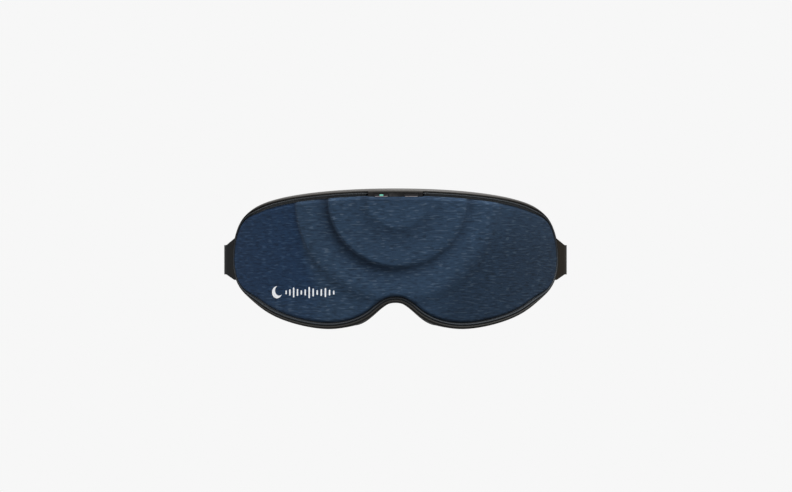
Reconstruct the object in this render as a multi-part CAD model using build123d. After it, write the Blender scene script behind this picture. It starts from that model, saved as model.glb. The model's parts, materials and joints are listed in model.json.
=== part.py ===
"""Eye massager mask: a curved, padded goggle worn over the eyes and held by an elastic strap.

The frame is the mask as worn: +Z up, +X to the viewer's right when looking at the front cover,
+Y from the cover towards the wearer. The origin is the middle of the face seat. Every layer of
the mask is concentric with one vertical axis behind the face, so a place inside the mask is
given by an angle from the centre line, a radius from that axis and a height. All sizes are mm.
"""

from build123d import *
import math
import os

# ---- driving dimensions -------------------------------------------------------------------
AXIS_Y = 100.0  # the vertical axis that all curved layers share, behind the face seat
R_OUTLINE = 140.0  # radius on which the outline is laid out

# Half of the mask's outline, unrolled: distance round the arc, height. Top centre to nose notch.
OUTLINE_HALF = [
    (0, 46.1),
    (32, 45.3),
    (64, 42.6),
    (88, 38.6),
    (104, 33.5),
    (114.5, 26.8),
    (121.5, 17),
    (125, 4),
    (124, -9),
    (118, -19),
    (107, -27.3),
    (92.5, -35.5),
    (73, -42.3),
    (55, -45.7),
    (45, -46.3),
    (34, -45.2),
    (24, -42.2),
    (15, -37),
    (8.5, -31.7),
    (3.6, -29.3),
    (0, -28.9),
]
OUTLINE_SAMPLES = 48  # points through which each inset outline is drawn
SAMPLES_PER_LENGTH = 3
FRONT_VIEW_Y = AXIS_Y - 40.0

# radii of the layers, from the front cover back to the face seat
R_COVER = 140.2
COVER_THICK = 1.2
FOAM_THICK = 2.3
SHELL_THICK = 2.0
R_FOAM = R_COVER - COVER_THICK
R_FOAM_BACK = R_FOAM - FOAM_THICK
R_SHELL = R_FOAM_BACK - 0.05  # a film of glue between
R_CAVITY = R_SHELL - SHELL_THICK  # front of the space that holds the works
R_BAND_BACK = 127.0  # parting line between trim band and chassis
R_CHASSIS = 119.0  # front face of the chassis floor
CHASSIS_FLOOR = 2.0
R_CUSHION = R_CHASSIS - CHASSIS_FLOOR
R_SEAT = 100.0  # the face seat

# insets from the outline
STEP_IN = 0.25  # how far each stacked layer stands in from the one that carries it
BAND_LIP = 2.4
BAND_LEDGE = 3.9
PIPING_IN, PIPING_OUT = 4.0, 2.7
COVER_INSET = 4.3
SHELL_INSET, SKIRT_IN = 4.2, 6.2
CHASSIS_INSET, CHASSIS_WALL = 0.4, 3.4
CUSHION_INSET = 2.6

# moulded rings on the cover: three discs about a point near the top edge, each a step high
RING_X, RING_Z = 1.3, 40.6
RING_RADII = (68.0, 46.2, 21.0)
RING_STEP = 0.5
RING_LAP = 0.8  # how much wider the cover's disc is than the foam's

# eye modules
EYE_ANGLE = 18.5
EYE_Z = -2.0
EYE_HOLE = (28.5, 20.5)  # semi-axes of the chassis opening
CUSHION_HOLE = (27.5, 19.5)
PAD_SIZE = (26.3, 18.3)
PLATE_SIZE = (25.4, 17.4)
BLADDER_SIZE = (21.6, 14.4, 2.2)
PAD_THICK = 5.0
PAD_FACE = 106.5  # distance of the pad's face from the axis
PLATE_THICK = 1.5
PLATE_BACK = 112.0
STEM_X, STEM_R, STEM_TIP = 23.6, 1.2, 124.4
SLEEVE_R, SLEEVE_BORE, SLEEVE_TIP = 2.4, 1.28, 122.0
TRAY_THICK = 1.5

# vibration motors
MOTOR_R, MOTOR_LENGTH, MOTOR_W, MOTOR_Z = 4.0, 15.0, 125.8, -9.0
SHAFT_R, WEIGHT_R, WEIGHT_LENGTH = 0.5, 3.6, 4.0

# control strip at the top centre
STRIP_HALF, STRIP_LOW, STRIP_HIGH = 18.0, 39.8, 43.6
STRIP_BACK, STRIP_FRONT = 131.5, 141.0
CONTROL_BOARD_W = 129.7
BUTTON_Z = 41.9
BUTTON_SIZE = (9.4, 1.9)
BUTTON_FLANGE = (11.0, 2.6)
BUTTON_X = {"power_button": -9.2, "mode_button": 10.4}
BUTTON_PROUD = 0.3
LENS_SIZE = (2.6, 1.0)

# strap arms and strap
PIN_AT = (97.6, 27.6)
PIN_R, PIN_HALF = 1.0, 13.6
ELBOW_AT = (115.9, 44.0)
BAR_AT = (108.0, 66.0)
ELBOW_FILLET = 7.0
ARM_THICK = 3.0
ARM_REAR_LOW = -10.9
ARM_REAR_HIGH = 9.0
KNUCKLE_R = 2.6
KNUCKLE_LOW, KNUCKLE_HIGH = -8.0, 9.0
LUG_THICK = 3.2
BAR_R = 1.1
STRAP_THICK, STRAP_WIDTH = 1.3, 15.0
LOOP_GAP = 0.25  # air between the bar and the strap round it
HEAD_CENTRE_Y, HEAD_R = 118.0, 79.0
RETURN_LENGTH = 44.0  # doubled strap between the right arm's bar and the adjuster
STITCHED_LENGTH = 17.0  # doubled strap on the left arm
SLIDER_LENGTH, SLIDER_WALL = 11.0, 1.2

# fixings: angle, height
CASE_SCREWS = [(45.5, 2.0), (31.0, -29.5), (33.0, 31.0), (6.2, -23.5)]
BOARD_SIZE = (58.0, 25.0, 1.2)
BOARD_Z, BOARD_W = 24.0, 129.8
BOARD_SCREW_X, BOARD_SCREW_Z = 26.0, 9.8
BOARD_POST_TOP = 133.0


# ---- frames and outlines ------------------------------------------------------------------
def place(angle, radius, height):
    """The point at an angle from the centre line, a radius from the axis and a height."""
    a = math.radians(angle)
    return Vector(radius * math.sin(a), AXIS_Y - radius * math.cos(a), height)


def local_plane(angle, height=0.0, radius=0.0):
    """A frame at that angle: x along the curve, y up, z outwards, its origin on the radius."""
    a = math.radians(angle)
    tangent = Vector(math.cos(a), math.sin(a), 0)
    outward = Vector(math.sin(a), -math.cos(a), 0)
    return Plane(origin=place(angle, radius, height), x_dir=tangent, z_dir=outward)


def make_outline():
    """The unrolled outline as one closed curve."""
    mirrored = [(-u, z) for u, z in OUTLINE_HALF[-2:0:-1]]
    return Spline(OUTLINE_HALF + mirrored, periodic=True)


OUTLINE = make_outline()


def inset_points(inset):
    """Points of the unrolled outline moved inwards."""
    points = []
    for i in range(OUTLINE_SAMPLES):
        at = OUTLINE @ (i / OUTLINE_SAMPLES)
        along = OUTLINE % (i / OUTLINE_SAMPLES)
        points.append((at.X + inset * along.Y, at.Y - inset * along.X))
    return points


def outline_wire(inset, radius):
    """The inset outline as it looks from the front when it lies on that radius.

    It is drawn in short lengths, because volumes come out wrong on one long closed spline.
    """
    points = [
        Vector(radius * math.sin(u / R_OUTLINE), FRONT_VIEW_Y, z) for u, z in inset_points(inset)
    ]
    points.append(points[0])
    starts = range(0, OUTLINE_SAMPLES, SAMPLES_PER_LENGTH)
    return Wire([Edge.make_spline(points[i : i + SAMPLES_PER_LENGTH + 1]) for i in starts])


def curved_sheet(radius, inset_out, inset_in=None):
    """The part of a cylinder about the axis between the inset outlines."""
    holes = [] if inset_in is None else [outline_wire(inset_in, radius)]
    face = Face(outline_wire(inset_out, radius), holes)
    blank = Solid.extrude(face, Vector(0, -FRONT_VIEW_Y - radius, 0))
    drum = Solid.make_cylinder(radius, 140, Plane((0, AXIS_Y, -70)))
    side = drum.faces().filter_by(GeomType.CYLINDER)[0]
    return (side & blank).faces()[0]


def slab(inset, r_front, r_back):
    """A curved plate between two radii, with its edge square to the curve."""
    return Solid.thicken(curved_sheet(r_front, inset), r_back - r_front)


def ring(inset_out, inset_in, r_front, r_back):
    """A curved frame between two insets of the outline."""
    return Solid.thicken(curved_sheet(r_front, inset_out, inset_in), r_back - r_front)


def shell_between(r_front, r_back, height=140.0):
    """A full round wall about the axis."""
    plane = Plane((0, AXIS_Y, -height / 2))
    return Solid.make_cylinder(r_front, height, plane) - Solid.make_cylinder(
        r_back, height, plane
    )


def bar(angle, height, size, low, high):
    """A block of a size along and up, from one distance to another, square to that angle."""
    middle = (low + high) / 2
    return local_plane(angle, height) * Pos(0, 0, middle) * Box(size[0], size[1], high - low)


def rod(angle, height, radius, low, high, x=0.0, y=0.0):
    """A round bar pointing outwards at that angle, between two distances from the axis."""
    return local_plane(angle, height) * Pos(x, y, (low + high) / 2) * Cylinder(radius, high - low)


def oval(angle, semi_axes, low, high, height=EYE_Z):
    """An elliptical prism pointing outwards at that angle."""
    plane = local_plane(angle, height, low)
    return extrude(plane * Ellipse(semi_axes[0], semi_axes[1]), high - low)


def capsule(angle_x, height, size, r_low, r_high):
    """A bar with round ends, along the curve, pointing outwards at the arc position angle_x."""
    plane = local_plane(math.degrees(angle_x / R_OUTLINE), height, r_low)
    return extrude(plane * SlotOverall(size[0], size[1]), r_high - r_low)


def both_sides(angle_height):
    """The screw places of the left and the right half."""
    angle, height = angle_height
    return [(-angle, height), (angle, height)]


def one_solid(shape):
    """The single solid of a shape, as a Solid."""
    return shape.solids()[0]


# ---- front: cover, foam, shell, trim ------------------------------------------------------
def strip_pocket(clearance=0.15):
    """The space at the top centre that the control strip takes."""
    middle = (STRIP_LOW + STRIP_HIGH) / 2
    height = STRIP_HIGH - STRIP_LOW + 2 * clearance
    width = 2 * (STRIP_HALF + clearance)
    return bar(0, middle, (width, height), STRIP_BACK - 3, STRIP_FRONT + 4)


def ring_disc(level, r_front, r_back, margin, extra=0.0):
    """One moulded disc as a curved plate; level 1 is the widest."""
    radius = RING_RADII[level - 1] + extra
    post = Solid.make_cylinder(radius, 80, Plane((RING_X, 0, RING_Z), z_dir=(0, -1, 0)))
    sheet = curved_sheet(r_front, COVER_INSET + STEP_IN * level + margin) & post
    return Solid.thicken(sheet.faces()[0], r_back - r_front)


def foam_disc(level):
    """The foam's disc of one level."""
    top = R_FOAM + RING_STEP * level
    return ring_disc(level, top, top - RING_STEP, RING_LAP / 2)


def make_foam():
    body = slab(COVER_INSET + STEP_IN, R_FOAM, R_FOAM_BACK)
    for level in (1, 2, 3):
        body += foam_disc(level)
    return body - strip_pocket()


def make_cover():
    body = slab(COVER_INSET, R_COVER, R_FOAM)
    for level in (1, 2, 3):
        top = R_COVER + RING_STEP * level
        body += ring_disc(level, top, top - RING_STEP, 0, RING_LAP)
    for level in (1, 2, 3):
        body -= foam_disc(level)
    return body - strip_pocket()


def make_front_shell():
    body = slab(SHELL_INSET, R_SHELL, R_CAVITY)
    body += ring(SHELL_INSET + STEP_IN, SKIRT_IN, R_CAVITY, 122.0)
    for place_ in CASE_SCREWS:
        for angle, height in both_sides(place_):
            body += rod(angle, height, 2.8, 121.2, R_CAVITY + 0.8)
    for x, z in board_screw_places():
        body += rod(0, z, 2.0, BOARD_W + BOARD_SIZE[2], BOARD_POST_TOP, x=x)
    for place_ in CASE_SCREWS:
        for angle, height in both_sides(place_):
            body -= rod(angle, height, 1.0, 121.0, 131.0)
    for x, z in board_screw_places():
        body -= rod(0, z, 0.8, BOARD_W, BOARD_POST_TOP - 0.3, x=x)
    return body - strip_pocket() - port_slot(0.6)


def make_trim_band():
    body = ring(0, BAND_LEDGE, R_SHELL - 0.2, R_BAND_BACK)
    body += ring(STEP_IN, BAND_LIP, R_COVER + 0.3, R_SHELL - 0.2)
    return body - strip_pocket()


def make_piping():
    return ring(PIPING_OUT, PIPING_IN, R_COVER + 0.6, R_SHELL) - strip_pocket()


def print_mark():
    """A plain printed mark on the cover: a crescent and a row of pulse bars."""
    moon_x, moon_z, moon_r = -83.5, -22.4, 4.0
    bar_pitch, bar_width = 2.9, 1.0
    bar_heights = (1.6, 3.2, 5.6, 3.6, 1.8, 3.0, 6.4, 4.2, 2.2, 3.4, 5.0, 2.8, 1.6)
    film = shell_between(R_COVER + 0.12, R_COVER)
    plane = local_plane(math.degrees(moon_x / R_OUTLINE), moon_z, R_COVER - 3)
    crescent = plane * (Circle(moon_r) - Pos(1.7, 1.1) * Circle(moon_r * 0.82))
    solids = [extrude(crescent, 6) & film]
    for i, height in enumerate(bar_heights):
        x = moon_x + moon_r + 3.4 + i * bar_pitch
        solids.append(capsule_up(x, moon_z, bar_width, height + bar_width) & film)
    return solids


def capsule_up(arc_x, height, width, length):
    """A short upright bar with round ends that crosses the cover's face."""
    plane = local_plane(math.degrees(arc_x / R_OUTLINE), height, R_COVER - 3)
    return extrude(plane * (Rot(0, 0, 90) * SlotOverall(length, width)), 6)


# ---- controls -----------------------------------------------------------------------------
def make_control_strip():
    middle = (STRIP_LOW + STRIP_HIGH) / 2
    height = STRIP_HIGH - STRIP_LOW
    body = bar(0, middle, (2 * STRIP_HALF, height), STRIP_BACK - 2, STRIP_FRONT + 3)
    body = body & shell_between(STRIP_FRONT, STRIP_BACK)
    for x in BUTTON_X.values():
        body -= capsule(x, BUTTON_Z, (BUTTON_SIZE[0] + 0.3, BUTTON_SIZE[1] + 0.3), 136, 145)
        body -= capsule(x, BUTTON_Z, (BUTTON_FLANGE[0] + 0.5, BUTTON_FLANGE[1] + 0.3), 135.6, 137.4)
        angle = math.degrees(x / R_OUTLINE)
        body -= bar(angle, BUTTON_Z, (9.0, 2.7), STRIP_BACK - 1, 136)
    return body


def make_button(x):
    top = STRIP_FRONT + BUTTON_PROUD
    body = capsule(x, BUTTON_Z, BUTTON_SIZE, 136.9, top)
    return body + capsule(x, BUTTON_Z, BUTTON_FLANGE, 136.3, 137.1)


def make_light_window(gap=0.0):
    """The clear lens in the power button; with a gap it is the hole that takes it."""
    size = (LENS_SIZE[0] + 2 * gap, LENS_SIZE[1] + 2 * gap)
    top = STRIP_FRONT + BUTTON_PROUD + 0.05
    return capsule(BUTTON_X["power_button"], BUTTON_Z, size, 136.6 - gap, top + gap)


def make_control_board():
    return bar(0, BUTTON_Z, (2 * STRIP_HALF - 1, 3.4), CONTROL_BOARD_W - 0.8, CONTROL_BOARD_W)


def make_tact_switches():
    """Two tactile switches, one under each button."""
    solids = []
    for x in (-6.9, BUTTON_X["mode_button"]):
        body = bar(0, BUTTON_Z, (4.0, 2.3), CONTROL_BOARD_W, 134.9)
        moved = Pos(x, 0, 0) * body
        solids.append(moved + rod(0, BUTTON_Z, 0.7, 134.5, 135.0, x=x))
    return solids


def make_status_led():
    top = CONTROL_BOARD_W + 2.4
    return Pos(-11.4, 0, 0) * bar(0, BUTTON_Z, (1.8, 1.2), CONTROL_BOARD_W, top)


# ---- chassis and face side ----------------------------------------------------------------
def port_slot(clearance):
    """The opening in the bottom wall of the right half that the charging port sits in."""
    w = 120.8 + 3.26 / 2
    size = (8.94 + 2 * clearance, 16.0)
    return bar(21.0, -45.0, size, w - 1.63 - clearance, w + 1.63 + clearance)


def make_chassis():
    body = slab(CHASSIS_INSET, R_CHASSIS, R_CUSHION)
    wall = (CHASSIS_INSET + STEP_IN, CHASSIS_INSET + CHASSIS_WALL)
    body += ring(*wall, R_BAND_BACK - 0.2, R_CHASSIS)
    for side in (-1, 1):
        body -= oval(side * EYE_ANGLE, EYE_HOLE, 105, 125)
        body += make_lugs(side)
    for place_ in CASE_SCREWS:
        for angle, height in both_sides(place_):
            body += rod(angle, height, 3.2, 118, 121.0)
            body -= rod(angle, height, 1.15, 110, 125)
            body -= rod(angle, height, 2.2, 112, 118.4)
    return body - port_slot(0.15)


def make_lugs(side):
    """Two ears behind the mask's end that carry an arm's pin."""
    path = Line((side * 88, 20.6), (side * PIN_AT[0], PIN_AT[1]))
    flat = trace(path, 2 * KNUCKLE_R) + Pos(side * PIN_AT[0], PIN_AT[1]) * Circle(KNUCKLE_R)
    hole = Pos(side * PIN_AT[0], PIN_AT[1]) * Circle(PIN_R + 0.05)
    ears = []
    for low in (KNUCKLE_HIGH + 0.3, KNUCKLE_LOW - 0.3 - LUG_THICK):
        ears.append(extrude(Pos(0, 0, low) * (flat - hole), LUG_THICK))
    inside = slab(CHASSIS_INSET + 1.5, R_BAND_BACK + 3, R_CUSHION - 3)
    cavity = shell_between(R_BAND_BACK - 0.2, R_CUSHION)
    return [(ear & cavity) - inside if side else ear for ear in ears]


def make_cushion():
    body = slab(CUSHION_INSET, R_CUSHION, R_SEAT)
    for side in (-1, 1):
        body -= oval(side * EYE_ANGLE, CUSHION_HOLE, 80, 125)
    return body - nose_form(0)


def nose_form(shrink):
    """The hollow that clears the bridge of the nose: wide at the face, narrow at the front."""

    def arch(y, half, top):
        low = -60.0
        points = [(-half, low), (-half * 0.62, top - half * 0.5), (0, top)]
        points += [(half * 0.62, top - half * 0.5), (half, low)]
        curve = Spline(points[1:-1], tangents=[(0.45, 1), (0.45, -1)])
        left = Line(points[0], points[1])
        right = Line(points[3], points[4])
        floor = Line(points[4], points[0])
        return Plane((0, y, 0), x_dir=(1, 0, 0), z_dir=(0, -1, 0)) * make_face(
            [left, curve, right, floor]
        )

    near = arch(6, 22 - shrink, 0 - shrink)
    far = arch(-19, 11 - shrink, -14 - shrink)
    return loft([near, far])


def make_nose_seal():
    wall = slab(CUSHION_INSET, R_CUSHION - 0.2, R_SEAT + 1.5) & nose_form(0.3)
    return wall - nose_form(1.6)


# ---- eye modules --------------------------------------------------------------------------
def make_tray(side):
    """The curved cup behind each eye: floor, collar, two stem sleeves and an air elbow."""
    angle = side * EYE_ANGLE
    wall = shell_between(R_CHASSIS + TRAY_THICK, R_CHASSIS)
    body = oval(angle, (31.5, 23.0), 100, 125) & wall
    collar = oval(angle, (28.2, 20.2), 100, 125) - oval(angle, (26.8, 18.8), 90, 130)
    body += collar & shell_between(R_CHASSIS + 0.2, R_CUSHION)
    for x in (-STEM_X, STEM_X):
        body += rod(angle, EYE_Z, SLEEVE_R, 116.8, SLEEVE_TIP, x=x)
        body -= rod(angle, EYE_Z, SLEEVE_BORE, 110, 130, x=x)
    elbow_angle = side * 11.5
    body += bar(elbow_angle, -17.0, (5.0, 5.0), R_CHASSIS + 0.5, 128.0)
    return body - rod(elbow_angle, -17.0, 1.0, 112, 126)


def make_bladder(side):
    a, b, c = BLADDER_SIZE
    pillow = scale(Sphere(1), by=(a, b, c))
    return local_plane(side * EYE_ANGLE, EYE_Z) * Pos(0, 0, 116.0) * pillow


def make_pad_plate(side):
    angle = side * EYE_ANGLE
    body = oval(angle, PLATE_SIZE, PLATE_BACK, PLATE_BACK + PLATE_THICK)
    for x in (-STEM_X, STEM_X):
        body += rod(angle, EYE_Z, STEM_R, PLATE_BACK + 1, STEM_TIP, x=x)
    return body


def make_heater(side):
    return oval(side * EYE_ANGLE, (24.6, 16.6), PLATE_BACK - 0.4, PLATE_BACK)


def make_massage_pad(side):
    pad = oval(side * EYE_ANGLE, PAD_SIZE, PAD_FACE, PAD_FACE + PAD_THICK)
    low_edge = pad.edges().filter_by(GeomType.ELLIPSE).sort_by_distance((0, AXIS_Y, EYE_Z))[0]
    return fillet(low_edge, 2.2)


def make_motor_can(side):
    plane = local_plane(side * EYE_ANGLE, MOTOR_Z, MOTOR_W)
    can = plane * Rot(0, 90, 0) * Cylinder(MOTOR_R, MOTOR_LENGTH)
    boss_x = side * (MOTOR_LENGTH / 2 + 0.4)
    return can + plane * Pos(boss_x, 0, 0) * Rot(0, 90, 0) * Cylinder(1.4, 0.8)


def make_motor_weight(side):
    """The shaft end with its off-centre weight, hanging down at rest."""
    plane = local_plane(side * EYE_ANGLE, MOTOR_Z, MOTOR_W)
    start = MOTOR_LENGTH / 2 + 1.0
    middle = side * (start + WEIGHT_LENGTH / 2)
    disc = Rot(0, 90, 0) * Cylinder(WEIGHT_R, WEIGHT_LENGTH)
    half = disc & Pos(0, -WEIGHT_R / 2 + 0.6, 0) * Box(20, WEIGHT_R + 1.2, 20)
    hub = Rot(0, 90, 0) * Cylinder(1.3, WEIGHT_LENGTH)
    return plane * Pos(middle, 0, 0) * (half + hub)


def make_motor_clips():
    """A saddle on each tray that grips the vibration motor."""
    clips = []
    for side in (-1, 1):
        plane = local_plane(side * EYE_ANGLE, MOTOR_Z)
        low = R_CHASSIS + TRAY_THICK + 0.1
        block = plane * Pos(0, 0, (low + MOTOR_W) / 2) * Box(9.0, 10.4, MOTOR_W - low)
        bed = plane * Pos(0, 0, MOTOR_W) * Rot(0, 90, 0) * Cylinder(MOTOR_R + 0.05, 20)
        clips.append(block - bed)
    return clips


# ---- power, air and electronics -----------------------------------------------------------
def make_battery():
    cell = bar(-24.0, 14.5, (42.0, 26.0), 126.0, 132.2)
    return fillet(cell.edges().filter_by(Axis.Z), 2.0)


def make_battery_bracket():
    """A pressed frame under the cell with a lip at each end."""
    floor = bar(-24.0, 14.5, (46.0, 12.0), 124.6, 125.8)
    ends = [
        local_plane(-24.0, 14.5) * Pos(x, 0, 127.0) * Box(1.2, 12.0, 4.6) for x in (-22.4, 22.4)
    ]
    return floor + ends[0] + ends[1]


def board_screw_places():
    """The board's four screws: distance across and height."""
    return [
        (sx * BOARD_SCREW_X, BOARD_Z + sz * BOARD_SCREW_Z) for sx in (-1, 1) for sz in (-1, 1)
    ]


def make_main_board():
    board = bar(0, BOARD_Z, BOARD_SIZE[:2], BOARD_W, BOARD_W + BOARD_SIZE[2])
    for x, z in board_screw_places():
        board -= rod(0, z, 1.0, BOARD_W - 1, BOARD_W + 3, x=x)
    return board


def make_board_chips():
    """Controller, radio module, charger, coil and two plugs, on the board's back face."""
    parts = [
        (0.0, 25.0, 7.0, 7.0, 1.0),
        (-14.0, 24.0, 10.0, 12.0, 1.6),
        (12.5, 28.0, 4.0, 4.0, 1.0),
        (12.5, 20.0, 5.0, 5.0, 2.4),
        (21.0, 24.0, 4.0, 9.0, 3.0),
        (-22.5, 24.0, 3.0, 7.0, 3.0),
    ]
    return [
        Pos(x, 0, 0) * bar(0, z, (wide, high), BOARD_W - thick, BOARD_W)
        for x, z, wide, high, thick in parts
    ]


def screw(angle, height, head_r, head_low, head_high, shank_r, tip, x=0.0):
    """A pan-head screw with a cross recess, pointing outwards."""
    body = rod(angle, height, head_r, head_low, head_high, x=x)
    body += rod(angle, height, shank_r, head_high - 0.1, tip, x=x)
    plane = local_plane(angle, height) * Pos(x, 0, head_low)
    for turn in (0, 90):
        body -= plane * Rot(0, 0, turn) * Box(head_r * 1.2, head_r * 0.28, head_r * 0.7)
    return body


def make_case_screws():
    solids = []
    for place_ in CASE_SCREWS:
        for angle, height in both_sides(place_):
            solids.append(screw(angle, height, 2.0, 117.15, 118.35, 0.95, 129.0))
    return solids


def make_board_screws():
    low = BOARD_W - 1.0
    return [
        screw(0, z, 1.7, low, BOARD_W - 0.02, 0.75, BOARD_POST_TOP - 0.5, x=x)
        for x, z in board_screw_places()
    ]


def make_charge_board():
    return bar(21.0, -34.6, (16.0, 12.0), 119.8, 120.75)


def make_charge_port():
    """A USB type C receptacle: its shell and the tongue inside."""
    w = 120.8 + 3.26 / 2
    plane = local_plane(21.0, 0, w)
    mouth_z, length, wall = -45.2, 7.3, 0.3
    frame = Plane(plane.origin + Vector(0, 0, mouth_z), x_dir=plane.x_dir, z_dir=(0, 0, 1))
    outer = extrude(frame * SlotOverall(8.94, 3.26), length)
    inner = extrude(frame * SlotOverall(8.94 - 2 * wall, 3.26 - 2 * wall), length - 1.0)
    tongue = frame * Pos(0, 0, 3.6) * Box(6.7, 0.7, 4.9)
    return [outer - inner, tongue & extrude(frame * Rectangle(7, 1), length - 1.02)]


def make_air_pump():
    """The diaphragm pump's head with its outlet."""
    head = bar(26.0, 14.5, (20.0, 13.0), 120.9, 132.4)
    head = Pos(*(local_plane(26.0).x_dir * -11.5)) * head
    return fillet(head.edges().filter_by(Axis.Z), 1.5)


def make_pump_motor():
    plane = local_plane(26.0, 14.5, 126.6)
    can = plane * Pos(8.6, 0, 0) * Rot(0, 90, 0) * Cylinder(5.7, 19.8)
    return can + plane * Pos(19.0, 0, 0) * Rot(0, 90, 0) * Cylinder(2.0, 1.0)


def make_release_valve():
    """The solenoid valve that lets the air out; its plunger stands out at the top."""
    body = bar(38.5, 5.5, (9.0, 13.0), 120.6, 129.6)
    return body - valve_axis_rod(1.05, 6.0, 20.0)


def valve_axis_rod(radius, low, high):
    """An upright round bar on the valve's axis."""
    at = place(38.5, 125.1, 0)
    return Pos(at.X, at.Y, (low + high) / 2) * Cylinder(radius, high - low)


def make_valve_plunger():
    return valve_axis_rod(1.0, 8.0, 14.0) + valve_axis_rod(2.0, 12.9, 13.7)


def make_manifold():
    """The upright air gallery between pump, valve and the two bladders."""
    body = bar(0, 0, (7.0, 40.0), 121.4, 128.2)
    return fillet(body.edges().filter_by(Axis.Z), 1.2) - rod_up(1.6, -17.5, 17.0)


def rod_up(radius, low, high):
    """An upright round bar in the middle of the air gallery."""
    at = place(0, 124.8, 0)
    return Pos(at.X, at.Y, (low + high) / 2) * Cylinder(radius, high - low)


def arc_tube(start, end, height, outer=2.0, bore=1.2, radius=124.8):
    """A soft tube that follows the mask's curve between two angles."""
    start_plane = Plane(place(start, radius, height), x_dir=(0, 0, 1), z_dir=local_plane(start).x_dir)
    section = start_plane * (Circle(outer) - Circle(bore))
    axis = Axis((0, AXIS_Y, 0), (0, 0, 1))
    return revolve(section, axis, end - start)


def make_air_tubes():
    """Pump to gallery, gallery to valve, and gallery to each eye tray."""
    return [
        arc_tube(1.7, 15.2, 14.5),
        arc_tube(1.7, 36.3, 5.5),
        arc_tube(1.7, 10.2, -17.0),
        arc_tube(-10.2, -1.7, -17.0),
    ]


def make_wiring():
    """Two leads: battery to main board, and charging board up to the main board."""
    turn, low, high, radius = 9.4, -29.6, 12.0, 121.75
    battery_lead = arc_tube(-14.5, -10.8, 24.0, outer=0.7, bore=0.2, radius=129.3)
    across = arc_tube(turn, 18.0, low, outer=0.6, bore=0.2, radius=radius)
    at = place(turn, radius, 0)
    up = Pos(at.X, at.Y, (low + high) / 2) * Cylinder(0.6, high - low)
    to_board = rod(turn, high, 0.4, radius, 129.6)
    to_charger = rod(17.9, low, 0.4, 121.05, radius)
    return [battery_lead, across + up + to_board + to_charger]


# ---- strap arms and strap -----------------------------------------------------------------
def mirrored(shape, side):
    """The right-hand shape, or its mirror image for the left."""
    return shape if side > 0 else mirror(shape, Plane.YZ)


def strap_frame():
    """On the right: the bar's centre, the strap's direction, its outward normal and its length."""
    bar_at = Vector(BAR_AT[0], BAR_AT[1])
    centre = Vector(0, HEAD_CENTRE_Y)
    reach = HEAD_R + strap_offset()
    to_bar = bar_at - centre
    swing = math.acos(reach / to_bar.length)
    angle = math.atan2(to_bar.Y, to_bar.X) + swing
    touch = centre + Vector(math.cos(angle), math.sin(angle)) * reach
    along = (touch - bar_at).normalized()
    normal = Vector(along.Y, -along.X)
    return bar_at, along, normal, (touch - bar_at).length


def strap_offset():
    """From the bar's centre line to the middle of the strap beside it."""
    return BAR_R + LOOP_GAP + STRAP_THICK / 2


def strap_plane():
    """A frame on the right-hand bar: x along the strap, y outwards from the head, z down."""
    bar_at, along, _, _ = strap_frame()
    return Plane(
        origin=(bar_at.X, bar_at.Y, 0), x_dir=(along.X, along.Y, 0), z_dir=(0, 0, -1)
    )


def strap_block(x_low, x_high, y_low, y_high, height):
    """A block in the strap's frame, centred in height."""
    size = (x_high - x_low, y_high - y_low, height)
    centre = Pos((x_low + x_high) / 2, (y_low + y_high) / 2, 0)
    return strap_plane() * centre * Box(*size)


def make_arm(side):
    """A strap arm: knuckle, bowed plate and a slot with a bar for the strap."""
    bar_at, along, _, _ = strap_frame()
    path = FilletPolyline([PIN_AT, ELBOW_AT, BAR_AT], radius=ELBOW_FILLET)
    plate = extrude(Pos(0, 0, -20) * trace(path, ARM_THICK), 40)
    taper = make_face(
        FilletPolyline(
            [(95, 17.2), (104.4, 17.2), (114.6, ARM_REAR_HIGH), (120, ARM_REAR_HIGH)]
            + [(120, ARM_REAR_LOW), (114.6, ARM_REAR_LOW), (109.1, -14.6), (95, -14.6)],
            radius=1.2,
            close=True,
        )
    )
    front_cut = extrude(Plane((0, 47, 0), x_dir=(1, 0, 0), z_dir=(0, -1, 0)) * taper, 40)
    rear_middle = (ARM_REAR_LOW + ARM_REAR_HIGH) / 2
    rear = Pos(110, 72.9, rear_middle) * Box(30, 52, ARM_REAR_HIGH - ARM_REAR_LOW)
    plate = plate & (front_cut + rear)
    knuckle_at = Pos(PIN_AT[0], PIN_AT[1], (KNUCKLE_LOW + KNUCKLE_HIGH) / 2)
    height = KNUCKLE_HIGH - KNUCKLE_LOW
    clearance = Pos(PIN_AT[0], PIN_AT[1], 0) * Cylinder(KNUCKLE_R + 0.4, 40)
    body = (plate - clearance) + knuckle_at * Cylinder(KNUCKLE_R, height)
    link = trace(Line(PIN_AT, (PIN_AT[0] + 4.5, PIN_AT[1] + 3.75)), ARM_THICK)
    body += extrude(Pos(0, 0, KNUCKLE_LOW) * link, height)
    body -= strap_block(-4.6, 6, -6, 6, STRAP_WIDTH + 1.0)
    body += strap_plane() * Cylinder(BAR_R, 2 * ARM_REAR_HIGH)
    body -= Pos(PIN_AT[0], PIN_AT[1], 0) * Cylinder(PIN_R + 0.05, 60)
    return mirrored(one_solid(body), side)


def make_arm_pin(side):
    shaft = Pos(PIN_AT[0], PIN_AT[1], 0.5) * Cylinder(PIN_R, 2 * PIN_HALF - 3)
    return mirrored(shaft, side)


def make_strap_loop():
    """The half turn of strap round the right-hand bar."""
    outer = Cylinder(strap_offset() + STRAP_THICK / 2, STRAP_WIDTH)
    inner = Cylinder(strap_offset() - STRAP_THICK / 2, STRAP_WIDTH + 1)
    half = Pos(-5, 0, 0) * Box(10, 20, STRAP_WIDTH + 2)
    return strap_plane() * ((outer - inner) & half)


def strap_layer(x_low, x_high, side):
    """A straight length of strap beside the bar: side -1 is against the head, 1 is outside."""
    middle = side * strap_offset()
    half = STRAP_THICK / 2
    return strap_block(x_low, x_high, middle - half, middle + half, STRAP_WIDTH)


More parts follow.
